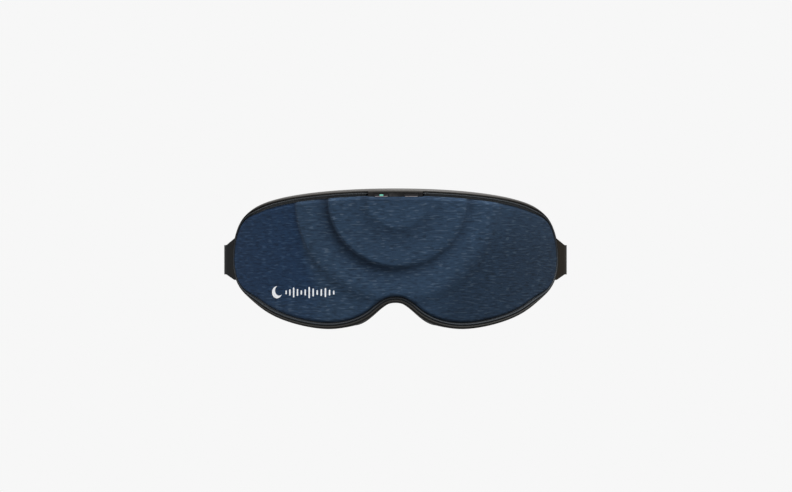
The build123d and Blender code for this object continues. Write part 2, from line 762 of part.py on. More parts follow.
def make_strap_left():
    """The left run with its stitched loop."""
    run = strap_layer(0, strap_frame()[3], -1) + make_strap_loop()
    return mirrored(run + strap_layer(0, STITCHED_LENGTH, 1), -1)


def make_strap_right():
    return strap_layer(0, strap_frame()[3], -1) + make_strap_loop()


def make_strap_return():
    """The doubled-back end of the right-hand strap, as far as the adjuster."""
    return strap_layer(0, RETURN_LENGTH, 1)


def make_strap_back():
    """The strap round the back of the head, between the two straight runs."""
    _, along, normal, _ = strap_frame()
    start = math.degrees(math.atan2(normal.Y, normal.X))
    half = STRAP_THICK / 2
    outer, inner = HEAD_R + half, HEAD_R - half
    band = Circle(outer) - Circle(inner)
    wedge = make_face(
        Polyline(
            (0, 0),
            (300 * math.cos(math.radians(start)), 300 * math.sin(math.radians(start))),
            (300, 300),
            (-300, 300),
            (-300 * math.cos(math.radians(start)), 300 * math.sin(math.radians(start))),
            close=True,
        )
    )
    return Pos(0, HEAD_CENTRE_Y, -STRAP_WIDTH / 2) * extrude(band & wedge, STRAP_WIDTH)


def make_slider():
    """The adjuster: a frame with one tunnel for each layer of strap."""
    gap = 0.35
    half_outside = strap_offset() + STRAP_THICK / 2 + gap + SLIDER_WALL
    height = STRAP_WIDTH + 2 * (gap + SLIDER_WALL)
    low = RETURN_LENGTH - SLIDER_LENGTH + 1.0
    body = strap_block(low, low + SLIDER_LENGTH, -half_outside, half_outside, height)
    body = fillet(body.edges().filter_by(Plane.XY, reverse=True).filter_by(Axis.Z), 1.2)
    for side in (-1, 1):
        middle = side * strap_offset()
        half = STRAP_THICK / 2 + gap
        tunnel = (low - 5, low + SLIDER_LENGTH + 5, middle - half, middle + half)
        body -= strap_block(*tunnel, STRAP_WIDTH + 2 * gap)
    return body


# ---- write the parts ----------------------------------------------------------------------
def build_parts():
    window_hole = make_light_window(0.05)
    parts = {
        "front_cover": make_cover(),
        "foam_layer": make_foam(),
        "front_shell": make_front_shell(),
        "trim_band": make_trim_band(),
        "piping": make_piping(),
        "print_mark": print_mark(),
        "control_strip": make_control_strip(),
        "power_button": make_button(BUTTON_X["power_button"]) - window_hole,
        "mode_button": make_button(BUTTON_X["mode_button"]),
        "light_window": make_light_window(),
        "control_board": make_control_board(),
        "tact_switches": make_tact_switches(),
        "status_led": make_status_led(),
        "chassis": make_chassis(),
        "face_cushion": make_cushion(),
        "nose_seal": make_nose_seal(),
        "battery": make_battery(),
        "battery_bracket": make_battery_bracket(),
        "main_board": make_main_board(),
        "board_chips": make_board_chips(),
        "board_screws": make_board_screws(),
        "case_screws": make_case_screws(),
        "charge_board": make_charge_board(),
        "charge_port": make_charge_port(),
        "air_pump": make_air_pump(),
        "pump_motor": make_pump_motor(),
        "release_valve": make_release_valve(),
        "valve_plunger": make_valve_plunger(),
        "air_manifold": make_manifold(),
        "air_tubes": make_air_tubes(),
        "wiring": make_wiring(),
        "motor_clips": make_motor_clips(),
        "strap_left_run": make_strap_left(),
        "strap_right_run": make_strap_right(),
        "strap_right_return": make_strap_return(),
        "strap_back": make_strap_back(),
        "strap_slider": make_slider(),
    }
    for name, side in (("left", -1), ("right", 1)):
        parts[f"{name}_eye_tray"] = make_tray(side)
        parts[f"{name}_air_bladder"] = make_bladder(side)
        parts[f"{name}_pad_plate"] = make_pad_plate(side)
        parts[f"{name}_heater_film"] = make_heater(side)
        parts[f"{name}_massage_pad"] = make_massage_pad(side)
        parts[f"{name}_vibration_motor"] = make_motor_can(side)
        parts[f"{name}_motor_weight"] = make_motor_weight(side)
        parts[f"{name}_strap_arm"] = make_arm(side)
        parts[f"{name}_arm_pin"] = make_arm_pin(side)
    return parts


def write_parts():
    os.makedirs("parts", exist_ok=True)
    for name, shape in build_parts().items():
        if isinstance(shape, list):
            solids = [solid for item in shape for solid in item.solids()]
        else:
            solids = list(shape.solids())
        for solid in solids:
            if not solid.is_valid or solid.volume <= 0:
                print("check", name, solid.is_valid, solid.volume)
        export_step(Compound(children=solids), f"parts/{name}.step")


write_parts()
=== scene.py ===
"""Looks of the eye massager mask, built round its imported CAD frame. Sizes are mm until a mesh is made."""

import json
import math

import bpy
import numpy as np
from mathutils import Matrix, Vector
from mathutils.bvhtree import BVHTree


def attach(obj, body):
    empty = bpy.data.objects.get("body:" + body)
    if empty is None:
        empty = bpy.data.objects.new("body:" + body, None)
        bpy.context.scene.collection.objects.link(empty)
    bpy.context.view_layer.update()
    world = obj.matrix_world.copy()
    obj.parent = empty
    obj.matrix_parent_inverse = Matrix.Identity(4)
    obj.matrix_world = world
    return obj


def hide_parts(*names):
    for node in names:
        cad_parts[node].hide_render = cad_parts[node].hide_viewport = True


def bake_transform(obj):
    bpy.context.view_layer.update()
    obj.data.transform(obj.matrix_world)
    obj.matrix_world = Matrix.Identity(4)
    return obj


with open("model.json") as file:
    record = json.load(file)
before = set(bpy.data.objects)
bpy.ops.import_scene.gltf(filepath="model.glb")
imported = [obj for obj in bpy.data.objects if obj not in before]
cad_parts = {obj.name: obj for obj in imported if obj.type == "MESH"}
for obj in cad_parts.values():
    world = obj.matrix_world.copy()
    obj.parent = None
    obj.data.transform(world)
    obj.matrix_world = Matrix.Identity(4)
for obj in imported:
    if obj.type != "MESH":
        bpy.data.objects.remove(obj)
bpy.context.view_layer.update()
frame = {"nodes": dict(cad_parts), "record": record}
NODES = frame["nodes"]

# ---- the mask's layout, the same numbers as the CAD source -----------------------------------
MM = 0.001
AXIS_Y, R_OUTLINE = 100.0, 140.0
OUTLINE_HALF = [
    (0, 46.1), (32, 45.3), (64, 42.6), (88, 38.6), (104, 33.5), (114.5, 26.8), (121.5, 17),
    (125, 4), (124, -9), (118, -19), (107, -27.3), (92.5, -35.5), (73, -42.3), (55, -45.7),
    (45, -46.3), (34, -45.2), (24, -42.2), (15, -37), (8.5, -31.7), (3.6, -29.3), (0, -28.9),
]
R_COVER = 140.2
RING_CENTRE = (1.3, 40.6)
STRIP_HALF = 18.0
EYE_ANGLE, EYE_Z, EYE_HALF, PAD_HALF = 18.5, -2.0, (27.5, 19.5), (26.3, 18.3)
BAR_AT, HEAD_CENTRE_Y, HEAD_R = (108.0, 66.0), 118.0, 79.0
BAR_OFFSET, STRAP_THICK, STRAP_WIDTH = 2.0, 1.3, 15.0
RETURN_LENGTH, STITCHED_LENGTH = 44.0, 17.0
LAP = 1.42  # from one layer of strap to the next


# ---- curves and meshes -----------------------------------------------------------------------
def closed_spline(points, per_span=60):
    """Dense points on a smooth closed curve through the given points, back to the first."""
    p = np.array(points, float)
    n = len(p)
    h = np.linalg.norm(np.roll(p, -1, 0) - p, axis=1)
    a = np.zeros((n, n))
    b = np.zeros((n, 2))
    for i in range(n):
        before, after = h[i - 1], h[i]
        a[i, i - 1] += before
        a[i, i] += 2 * (before + after)
        a[i, (i + 1) % n] += after
        b[i] = 6 * ((p[(i + 1) % n] - p[i]) / after - (p[i] - p[i - 1]) / before)
    m = np.linalg.solve(a, b)
    t = np.linspace(0, 1, per_span, endpoint=False)[:, None]
    spans = []
    for i in range(n):
        j, w = (i + 1) % n, h[i]
        curve = m[i] * (w * (1 - t)) ** 3 / (6 * w) + m[j] * (w * t) ** 3 / (6 * w)
        spans.append(curve + (p[i] / w - m[i] * w / 6) * w * (1 - t) + (p[j] / w - m[j] * w / 6) * w * t)
    return np.vstack([*spans, spans[0][:1]])


def length_along(line):
    """Length from the start of a line to each of its points."""
    return np.concatenate([[0], np.cumsum(np.linalg.norm(np.diff(line, axis=0), axis=1))])


def unit(vectors):
    return vectors / np.maximum(np.linalg.norm(vectors, axis=-1, keepdims=True), 1e-9)


def turned(vectors):
    """Plane vectors turned clockwise by a quarter."""
    return np.stack([vectors[..., 1], -vectors[..., 0]], -1)


OUTLINE = closed_spline(OUTLINE_HALF + [(-u, z) for u, z in reversed(OUTLINE_HALF[1:-1])])
OUTLINE_S = length_along(OUTLINE)
PERIMETER = OUTLINE_S[-1]


def outline_at(s, inset=0.0):
    """Points (distance round the arc, height) at a length s round the outline from the top centre."""
    s = np.asarray(s, float)

    def sample(q):
        q = np.mod(q, PERIMETER)
        return np.stack([np.interp(q, OUTLINE_S, OUTLINE[:, i]) for i in (0, 1)], -1)

    inward = turned(unit(sample(s + 0.5) - sample(s - 0.5)))
    return sample(s) + inward * np.asarray(inset, float)[..., None]


def from_top(s):
    """Shorter way round the outline from the top centre."""
    return np.minimum(s, PERIMETER - s)


def rim_scale(u):
    """The rim narrows towards the two ends, where the cover wraps almost to the edge."""
    return 1 - 0.7 * smoothstep((np.abs(u) - 99) / 21)


def rim_line(s, inset):
    """As outline_at, with the inset narrowed towards the ends."""
    at_edge = outline_at(s)
    return outline_at(s, np.asarray(inset) * rim_scale(at_edge[..., 0]))


def on_arc(u, z, r):
    """Metres in the row frame, from distance round the arc, height and radius."""
    a = np.asarray(u) / R_OUTLINE
    u, z, r = np.broadcast_arrays(u, z, r)
    return np.stack([r * np.sin(a), AXIS_Y - r * np.cos(a), z], -1) * MM


def grid_faces(rows, cols, close_rows=False, close_cols=False):
    """Quads of a grid of points stored row by row."""
    i = np.arange(rows if close_rows else rows - 1)
    j = np.arange(cols if close_cols else cols - 1)
    i, j = np.meshgrid(i, j, indexing="ij")
    i2, j2 = (i + 1) % rows, (j + 1) % cols
    return np.stack([i * cols + j, i2 * cols + j, i2 * cols + j2, i * cols + j2], -1).reshape(-1, 4)


def tube_faces(rings, sides):
    """Faces of a tube with closed ends, its points stored ring by ring."""
    last = (rings - 1) * sides
    ends = [list(range(sides))[::-1], [last + i for i in range(sides)]]
    return grid_faces(rings, sides, False, True).tolist() + ends


def add_object(name, data):
    piece = bpy.data.objects.new(name, data)
    bpy.context.scene.collection.objects.link(piece)
    return piece


def add_mesh(name, points, faces, uv=None, material=None):
    """A smooth-shaded mesh object. uv holds one pair in metres for each point."""
    mesh = bpy.data.meshes.new(name)
    mesh.from_pydata(np.asarray(points, float).reshape(-1, 3).tolist(), [], [list(map(int, f)) for f in faces])
    mesh.validate()
    piece = add_object(name, mesh)
    if uv is not None:
        set_uv(mesh, uv)
    smooth_all(piece)
    if material is not None:
        mesh.materials.append(material)
    return piece


def set_uv(mesh, uv):
    """Gives the mesh cloth coordinates, one pair in metres for each point."""
    layer = mesh.uv_layers.new(name="cloth")
    loops = np.zeros(len(mesh.loops), np.int32)
    mesh.loops.foreach_get("vertex_index", loops)
    layer.data.foreach_set("uv", np.asarray(uv, float).reshape(-1, 2)[loops].astype(np.float32).ravel())


def set_attribute(piece, name, values):
    """Stores one number for each point, for a material to read."""
    attribute = piece.data.attributes.new(name, "FLOAT", "POINT")
    attribute.data.foreach_set("value", np.asarray(values, np.float32).ravel())


def add_modifier(piece, kind, apply=True, **settings):
    modifier = piece.modifiers.new(kind.lower(), kind)
    for key, value in settings.items():
        setattr(modifier, key, value)
    if apply:
        with bpy.context.temp_override(object=piece, active_object=piece, selected_objects=[piece]):
            bpy.ops.object.modifier_apply(modifier=modifier.name)
    return modifier


def smooth_all(piece):
    piece.data.polygons.foreach_set("use_smooth", np.ones(len(piece.data.polygons), bool))
    piece.data.update()


def get_points(piece):
    co = np.zeros(len(piece.data.vertices) * 3, np.float32)
    piece.data.vertices.foreach_get("co", co)
    return co.reshape(-1, 3).astype(float)


def set_points(piece, points):
    piece.data.vertices.foreach_set("co", points.astype(np.float32).ravel())
    piece.data.update()


def skin_of(piece):
    """A search tree over the piece's faces."""
    faces = [tuple(face.vertices) for face in piece.data.polygons]
    return BVHTree.FromPolygons([Vector(point) for point in get_points(piece)], faces)


def to_layout(points):
    """(distance round the arc, height, radius) in mm of points in metres."""
    x, y, z = (points / MM).T
    a = np.arctan2(x, AXIS_Y - y)
    return a * R_OUTLINE, z, np.hypot(x, AXIS_Y - y)


def smoothstep(x):
    x = np.clip(x, 0, 1)
    return x * x * (3 - 2 * x)


# ---- materials -------------------------------------------------------------------------------
LOOKS = {}  # each material by its name


class Graph:
    """A material's node tree, with short calls for the nodes used here."""

    def __init__(self, name, colour, roughness, metallic=0.0, specular=0.5, **sockets):
        self.material = LOOKS[name] = bpy.data.materials.new(name)
        self.material.use_nodes = True
        self.tree = self.material.node_tree
        self.shader = self.tree.nodes["Principled BSDF"]
        self.set("Base Color", (*colour, 1.0))
        self.set("Roughness", roughness)
        self.set("Metallic", metallic)
        self.set("Specular IOR Level", specular)
        for key, value in sockets.items():
            self.set(key.replace("_", " ").title(), value)

    def set(self, socket, value):
        if isinstance(value, bpy.types.NodeSocket):
            self.tree.links.new(value, self.shader.inputs[socket])
        else:
            self.shader.inputs[socket].default_value = value

    def node(self, kind, inputs, output=0, **settings):
        n = self.tree.nodes.new(kind)
        for key, value in settings.items():
            setattr(n, key, value)
        for key, value in inputs.items():
            if isinstance(value, bpy.types.NodeSocket):
                self.tree.links.new(value, n.inputs[key])
            else:
                n.inputs[key].default_value = value
        return n.outputs[output]

    def place(self, uv=False, scale=(1, 1, 1)):
        """Coordinates in metres times scale: the cloth's own (UV) or the object's."""
        source = self.node("ShaderNodeTexCoord", {}, "UV" if uv else "Object")
        return self.node("ShaderNodeMapping", {"Vector": source, "Scale": scale})

    def height(self):
        """Height above the mask's origin in metres."""
        return self.node("ShaderNodeSeparateXYZ", {0: self.place()}, 2)

    def cloth(self, along, across):
        """The cloth's own two coordinates in metres, each times a number."""
        uv = self.node("ShaderNodeTexCoord", {}, "UV")
        parts = [self.node("ShaderNodeSeparateXYZ", {0: uv}, i) for i in (0, 1)]
        return self.times(parts[0], along), self.times(parts[1], across)

    def attribute(self, name):
        return self.node("ShaderNodeAttribute", {}, "Fac", attribute_name=name)

    def noise(self, vector, detail=2.0, roughness=0.5):
        inputs = {"Vector": vector, "Scale": 1.0, "Detail": detail, "Roughness": roughness}
        return self.node("ShaderNodeTexNoise", inputs)

    def grain(self, scale, detail=2.0, roughness=0.5):
        """Noise of the same size in every direction."""
        return self.noise(self.place(scale=(scale,) * 3), detail, roughness)

    def cells(self, scale, **settings):
        inputs = {"Vector": self.place(scale=(scale,) * 3), "Scale": 1.0}
        return self.node("ShaderNodeTexVoronoi", inputs, "Distance", **settings)

    def math(self, operation, a, b=0.0):
        return self.node("ShaderNodeMath", {0: a, 1: b}, operation=operation)

    def plus(self, a, b):
        return self.math("ADD", a, b)

    def times(self, a, b):
        return self.math("MULTIPLY", a, b)

    def remap(self, value, low, high, new_low, new_high):
        return self.node(
            "ShaderNodeMapRange",
            {"Value": value, "From Min": low, "From Max": high, "To Min": new_low, "To Max": new_high},
        )

    def mix(self, factor, a, b, blend="MIX"):
        a, b = [x if isinstance(x, bpy.types.NodeSocket) else (*x, 1.0) for x in (a, b)]
        return self.node("ShaderNodeMix", {0: factor, 6: a, 7: b}, 2, data_type="RGBA", blend_type=blend)

    def mottle(self, noise, colour, low, high, start=0.3, end=0.7):
        """The colour, from low to high times as bright where the noise goes from start to end."""
        return self.mix(self.remap(noise, start, end, 0, 1), shade(colour, low), shade(colour, high))

    def finish(self, colour, roughness, normal):
        for socket, value in (("Base Color", colour), ("Roughness", roughness), ("Normal", normal)):
            self.set(socket, value)
        return self.material

    def bump(self, height, distance, normal=None):
        inputs = {"Height": height, "Distance": distance, "Strength": 1.0}
        if normal is not None:
            inputs["Normal"] = normal
        return self.node("ShaderNodeBump", inputs)


def shade(colour, factor):
    return tuple(min(1.0, c * factor) for c in colour)


def moulded(name, colour, roughness, grain=0.00035, depth=0.00004, vary=0.12, wear=0.5, specular=0.4):
    """Moulded or machined surface: spark-eroded grain, slight mottling, edges worn lighter."""
    g = Graph(name, colour, roughness, specular=specular)
    fine = g.grain(1 / grain, 3.0, 0.6)
    broad = g.grain(90, 3.0)
    base = g.mottle(broad, colour, 1 - vary, 1 + vary)
    base = g.mix(g.remap(fine, 0.35, 0.65, 0, 0.35), base, shade(colour, 0.75))
    if wear:
        edge = g.node("ShaderNodeNewGeometry", {}, "Pointiness")
        wear_and_painted_highlight = g.times(g.remap(edge, 0.515, 0.56, 0, wear), g.remap(broad, 0.4, 0.6, 0.2, 1))
        base = g.mix(wear_and_painted_highlight, base, shade(tuple(c + 0.02 for c in colour), 1.8))
    return g.finish(
        base,
        g.remap(g.plus(fine, broad), 0.7, 1.3, roughness - 0.07, roughness + 0.07),
        g.bump(fine, depth),
    )


def trim_satin(name, dull, painted_highlight_colour):
    """The trim: dull and dark, with a painted highlight: lighter in colour and glossier along the top and away
    from the ends.
    """
    g = Graph(name, dull, 0.5)
    fine = g.grain(2900, 3.0, 0.6)
    wear_and_painted_highlight = g.attribute("wear_and_painted_highlight")
    # painted highlight: lighter colour and stronger specular where the attribute is high
    base = g.mix(wear_and_painted_highlight, dull, painted_highlight_colour)
    g.set("Specular IOR Level", g.remap(wear_and_painted_highlight, 0, 1, 0.07, 0.28))
    return g.finish(
        g.mix(g.remap(fine, 0.35, 0.65, 0, 0.3), base, shade(dull, 0.6)),
        g.remap(fine, 0.3, 0.7, 0.45, 0.6),
        g.bump(fine, 0.00004),
    )


def soft_rubber(name, colour, roughness):
    """Silicone or film: very fine skin texture, dust and a slight bloom."""
    g = Graph(name, colour, roughness, specular=0.35)
    fine = g.grain(2600)
    broad = g.grain(140, 4.0, 0.6)
    base = g.mottle(broad, colour, 0.85, 1.2, start=0.35)
    dust = shade(tuple(c + 0.03 for c in colour), 1.6)
    return g.finish(
        g.mix(g.remap(fine, 0.62, 0.75, 0, 0.25), base, dust),
        g.remap(broad, 0.3, 0.7, roughness - 0.1, roughness + 0.1),
        g.bump(g.plus(fine, g.times(broad, 2.0)), 0.00003),
    )


def metal(name, colour, roughness, stretch=(300, 300, 6000), crinkle=0.0):
    """Brushed or drawn metal; with crinkle it is foil."""
    g = Graph(name, colour, roughness, metallic=1.0)
    lines = g.noise(g.place(scale=stretch), 3.0)
    broad = g.grain(160, 4.0, 0.6)
    normal = g.bump(lines, 0.00001)
    if crinkle:
        normal = g.bump(broad, crinkle, normal=normal)
    return g.finish(
        g.mottle(broad, colour, 0.82, 1.08),
        g.remap(lines, 0.3, 0.7, roughness - 0.08, roughness + 0.12),
        normal,
    )


def foam_skin(name, colour):
    """Open-cell foam."""
    g = Graph(name, colour, 0.95, specular=0.1)
    cells = g.cells(1500)
    return g.finish(
        g.mottle(cells, colour, 0.4, 1.2, 0.0, 0.6),
        g.remap(cells, 0.0, 0.6, 0.99, 0.85),
        g.bump(cells, 0.0003),
    )


def board_mask(name, colour):
    """Solder mask over copper traces."""
    g = Graph(name, colour, 0.3, specular=0.5)
    cells = g.cells(420, distance="MANHATTAN")
    trace = g.remap(g.math("FRACT", g.times(cells, 4.0)), 0.42, 0.5, 0, 1)
    return g.finish(
        g.mix(trace, colour, shade(colour, 2.2)),
        g.remap(trace, 0, 1, 0.35, 0.25),
        g.bump(trace, 0.00004),
    )


def heater_sheet(name, colour):
    """Amber film with a wound heating trace under it."""
    g = Graph(name, colour, 0.25, specular=0.5)
    inputs = {"Vector": g.place(), "Scale": 95.0, "Distortion": 1.5, "Detail": 1.0}
    bands = g.node("ShaderNodeTexWave", inputs, "Fac", bands_direction="Z")
    trace = g.remap(bands, 0.62, 0.7, 0, 1)
    return g.finish(
        g.mix(trace, colour, (0.12, 0.045, 0.012)),
        g.remap(trace, 0, 1, 0.22, 0.38),
        g.bump(trace, 0.00005),
    )


def leather(name, colour):
    """Soft protein leather: pebbled grain with finer creases between the pebbles."""
    g = Graph(name, colour, 0.55, specular=0.3, Sheen_Weight=0.1, Sheen_Roughness=0.5)
    pebbles = g.cells(1050)
    wrinkle = g.grain(420, 5.0, 0.65)
    base = g.mottle(g.grain(45, 3.0), colour, 0.85, 1.2)
    return g.finish(
        g.mix(g.remap(pebbles, 0.35, 0.75, 0, 0.5), base, shade(colour, 0.45)),
        g.remap(wrinkle, 0.3, 0.7, 0.46, 0.66),
        g.bump(g.math("SUBTRACT", 1.0, pebbles), 0.00012, normal=g.bump(wrinkle, 0.0002)),
    )


def weave(name, colour, warp, weft, depth=0.00016):
    """Plain weave along the cloth's own directions, with uneven yarns. warp and weft are pitches in metres."""
    g = Graph(name, colour, 0.85, specular=0.15, Sheen_Weight=0.12, Sheen_Roughness=0.4)
    x, y = [g.times(g.math("SINE", p), 0.5) for p in g.cloth(2 * math.pi / weft, 2 * math.pi / warp)]
    crossing = g.math("ABSOLUTE", g.plus(x, y))
    yarn = g.noise(g.place(uv=True, scale=(700, 3500, 1)), 2.0)
    height = g.plus(crossing, g.times(yarn, 0.5))
    base = g.mottle(yarn, colour, 0.8, 1.35)
    # painted shade: the gaps between the yarns are painted darker
    return g.finish(
        g.mix(g.remap(crossing, 0.1, 0.9, 0.4, 0), base, shade(colour, 1 / 1.7)),
        g.remap(yarn, 0.3, 0.7, 0.78, 0.95),
        g.bump(height, depth),
    )


KNIT_WALE, KNIT_COURSE = 0.00062, 0.0005  # metres
LIGHT_YARN = (0.088, 0.125, 0.175)
# colours of painted shade on the knit: outside the steps and along the border, and towards the left and right
# sides
CREASE_SHADE_COLOUR, LEFT_SHADE_COLOUR, RIGHT_SHADE_COLOUR = (0.30, 0.32, 0.36), (0.53, 0.69, 0.87), (0.54, 0.57, 0.585)


def cover_knit(name, colour):
    """Melange jersey: darker and lighter yarn streaks along the courses, and knitted loops as relief."""
    g = Graph(name, colour, 0.92, specular=0.06, Sheen_Weight=0.03, Sheen_Roughness=0.6)
    u, z = g.cloth(1 / KNIT_WALE, 1 / KNIT_COURSE)
    # loops: each course is a row of V shapes
    wale = g.math("PINGPONG", u, 0.5)
    course = g.plus(z, g.times(wale, 1.1))
    loop = g.math("SINE", g.times(course, 2 * math.pi))
    gap = g.math("SINE", g.times(u, 2 * math.pi))
    loops = g.plus(loop, g.times(gap, 0.35))
    # yarns: streaks a few mm long and one course high, in three strengths
    streak = g.noise(g.place(uv=True, scale=(280, 1450, 1)), 2.0, 0.55)
    dash = g.noise(g.place(uv=True, scale=(185, 1000, 1)), 0.6, 0.4)
    slub = g.noise(g.place(uv=True, scale=(115, 760, 1)), 1.5, 0.5)
    broad = g.noise(g.place(uv=True, scale=(34, 46, 1)), 2.0)
    base = g.mottle(streak, colour, 0.78, 1.24, 0.36, 0.64)
    base = g.mix(g.remap(slub, 0.54, 0.68, 0, 0.6), base, shade(colour, 0.42))
    base = g.mix(g.remap(dash, 0.63, 0.67, 0, 0.5), base, LIGHT_YARN)
    base = g.mix(g.remap(dash, 0.335, 0.375, 0.6, 0), base, shade(colour, 0.36))
    base = g.mix(g.remap(broad, 0.3, 0.7, 0, 0.35), base, shade(colour, 0.8))
    # painted shade: the gaps between the knitted loops are painted darker
    base = g.mix(g.remap(loops, -1.2, 0.2, 0.3, 0), base, shade(colour, 0.5))
    # painted shade read from the cover: outside the steps, along the border and towards both sides
    for place, shade_colour in (("painted_crease_shade", CREASE_SHADE_COLOUR), ("left_painted_shade", LEFT_SHADE_COLOUR), ("right_painted_shade", RIGHT_SHADE_COLOUR)):
        base = g.mix(g.attribute(place), base, shade_colour, "MULTIPLY")
    return g.finish(
        base,
        g.remap(streak, 0.3, 0.7, 0.86, 0.97),
        g.bump(g.plus(loops, g.times(streak, 0.8)), 0.00007),
    )


def braid(name, colour, top_colour):
    """Braided cord or tape, lighter along the top of the mask."""
    g = Graph(name, colour, 0.6, specular=0.3)
    u, v = g.cloth(2 * math.pi / 0.0014, 2 * math.pi / 0.0012)
    strands = g.plus(g.math("SINE", g.plus(u, v)), g.math("SINE", g.math("SUBTRACT", u, v)))
    # lighter above a height, along the top of the mask
    upper = g.remap(g.height(), 0.020, 0.030, 0, 1)
    under, over = [g.mix(upper, shade(colour, k), shade(top_colour, k)) for k in (0.55, 1.4)]
    return g.finish(
        g.mix(g.remap(strands, -1.4, 1.4, 0, 1), under, over),
        g.remap(strands, -1.4, 1.4, 0.75, 0.5),
        g.bump(strands, 0.00006),
    )


def button_face(name, colour, edge_at):
    """A satin button with a painted glint: a lighter line along its lower edge, below the height edge_at in
    metres.
    """
    g = Graph(name, colour, 0.4, specular=0.18)
    fine = g.grain(2600)
    height = g.plus(g.height(), g.times(fine, 0.0002))
    # painted glint along the button's lower edge
    painted_glint = g.remap(height, edge_at + 0.0001, edge_at + 0.0004, 1, 0)
    return g.finish(
        g.mix(painted_glint, g.mix(fine, shade(colour, 0.8), shade(colour, 1.2)), (0.34, 0.32, 0.35)),
        g.remap(fine, 0.3, 0.7, 0.34, 0.46),
        g.bump(fine, 0.00001),
    )


def ink(name, colour):
    """Screen-printed ink, thin enough for the knit to show through a little."""
    g = Graph(name, colour, 0.6, specular=0.3)
    x = g.noise(g.place(scale=(900, 900, 2200)), 3.0)
    return g.finish(
        g.mix(g.remap(x, 0.56, 0.72, 0, 0.55), colour, (0.2, 0.24, 0.3)),
        g.remap(x, 0.3, 0.7, 0.5, 0.75),
        g.bump(x, 0.00006),
    )


def lens_glow(name, colour):
    """A frosted lens lit from behind."""
    g = Graph(name, colour, 0.3, specular=0.5)
    frost = g.grain(2500)
    g.set("Emission Color", (0.20, 0.80, 0.58, 1.0))
    g.set("Emission Strength", 0.3)
    rough = g.remap(frost, 0.3, 0.7, 0.25, 0.4)
    return g.finish(g.mottle(frost, colour, 0.8, 1), rough, g.bump(frost, 0.00002))


BLUE = (0.0228, 0.0455, 0.0825)
GRAPHITE = (0.0130, 0.0121, 0.0114)
# a material for each slot of the record
cover_knit("cover_knit", BLUE)
foam_skin("foam", (0.16, 0.16, 0.17))
moulded("graphite_plastic", GRAPHITE, 0.5, specular=0.22)
moulded("shell_plastic", (0.08, 0.08, 0.085), 0.6)
braid("piping_cord", (0.023, 0.028, 0.034), (0.04, 0.045, 0.05))
leather("cushion_leather", (0.045, 0.045, 0.05))
weave("nose_fabric", (0.03, 0.03, 0.035), 0.0006, 0.0006)
soft_rubber("pad_silicone", (0.09, 0.09, 0.1), 0.6)
soft_rubber("bladder_film", (0.3, 0.32, 0.34), 0.35)
heater_sheet("heater_film", (0.45, 0.22, 0.05))
ink("print_white", (0.72, 0.74, 0.77))
moulded("button_plastic", (0.016, 0.015, 0.0155), 0.34, 0.0002, 0.00001, wear=0.2, specular=0.3)
lens_glow("light_lens", (0.1, 0.3, 0.24))
board_mask("circuit_board", (0.02, 0.1, 0.05))
moulded("chip_black", (0.02, 0.02, 0.022), 0.55, 0.0002, 0.00002)
moulded("led_white", (0.8, 0.8, 0.7), 0.3, 0.0002, 0.00001, vary=0.05, wear=0)
metal("battery_foil", (0.6, 0.61, 0.63), 0.32, (300, 300, 300), crinkle=0.0008)
metal("bracket_metal", (0.5, 0.5, 0.5), 0.38)
metal("screw_steel", (0.45, 0.45, 0.46), 0.3, (2500, 2500, 2500))
metal("motor_steel", (0.58, 0.58, 0.6), 0.28)
moulded("pump_plastic", (0.55, 0.55, 0.53), 0.5, vary=0.06)
soft_rubber("tube_silicone", (0.7, 0.71, 0.72), 0.4)
soft_rubber("lead_jacket", (0.45, 0.05, 0.04), 0.45)
weave("strap_elastic", (0.02, 0.021, 0.024), 0.0016, 0.0006, 0.0002)
THREAD = weave("stitch_thread", (0.06, 0.062, 0.07), 0.0003, 0.0003, 0.00005)


def paint(piece, slot):
    piece.data.materials.clear()
    piece.data.materials.append(LOOKS[slot])
    return piece


# ---- CAD nodes that stay: material by slot, and rounded edges on what shows --------------------
for part in frame["record"]["subparts"]:
    paint(NODES[part["node"]], part["material_slot"])

# these keep their slots, and have a colour of their own
ARM_COLOURS = {"left_strap_arm": (0.0108, 0.0114, 0.012), "right_strap_arm": (0.0130, 0.0104, 0.0072)}
# the buttons' painted glint runs below this height
BUTTON_COLOUR, BUTTON_GLINT_BELOW = (0.0105, 0.0098, 0.0105), 0.0410
STRIP_COLOUR = (0.0085, 0.008, 0.0085)
for node, colour in ARM_COLOURS.items():
    NODES[node].data.materials[0] = moulded(f"{node}_plastic", colour, 0.6, wear=0.15, specular=0.1)
for node in ("power_button", "mode_button"):
    NODES[node].data.materials[0] = button_face(f"{node}_face", BUTTON_COLOUR, BUTTON_GLINT_BELOW)
NODES["control_strip"].data.materials[0] = moulded("strip_plastic", STRIP_COLOUR, 0.5, specular=0.1)

ROUNDED = {
    "control_strip": 0.25, "power_button": 0.2, "mode_button": 0.2, "light_window": 0.1, "chassis": 0.35,
    "left_strap_arm": 0.45, "right_strap_arm": 0.45, "strap_slider": 0.35,
}
for node, width in ROUNDED.items():
    add_modifier(NODES[node], "WELD", apply=False, merge_threshold=2e-6)
    add_modifier(
        NODES[node], "BEVEL", apply=False, width=width * MM, segments=3, limit_method="ANGLE",
        angle_limit=math.radians(40), use_clamp_overlap=True,
    )
    add_modifier(NODES[node], "WEIGHTED_NORMAL", apply=False, weight=60)


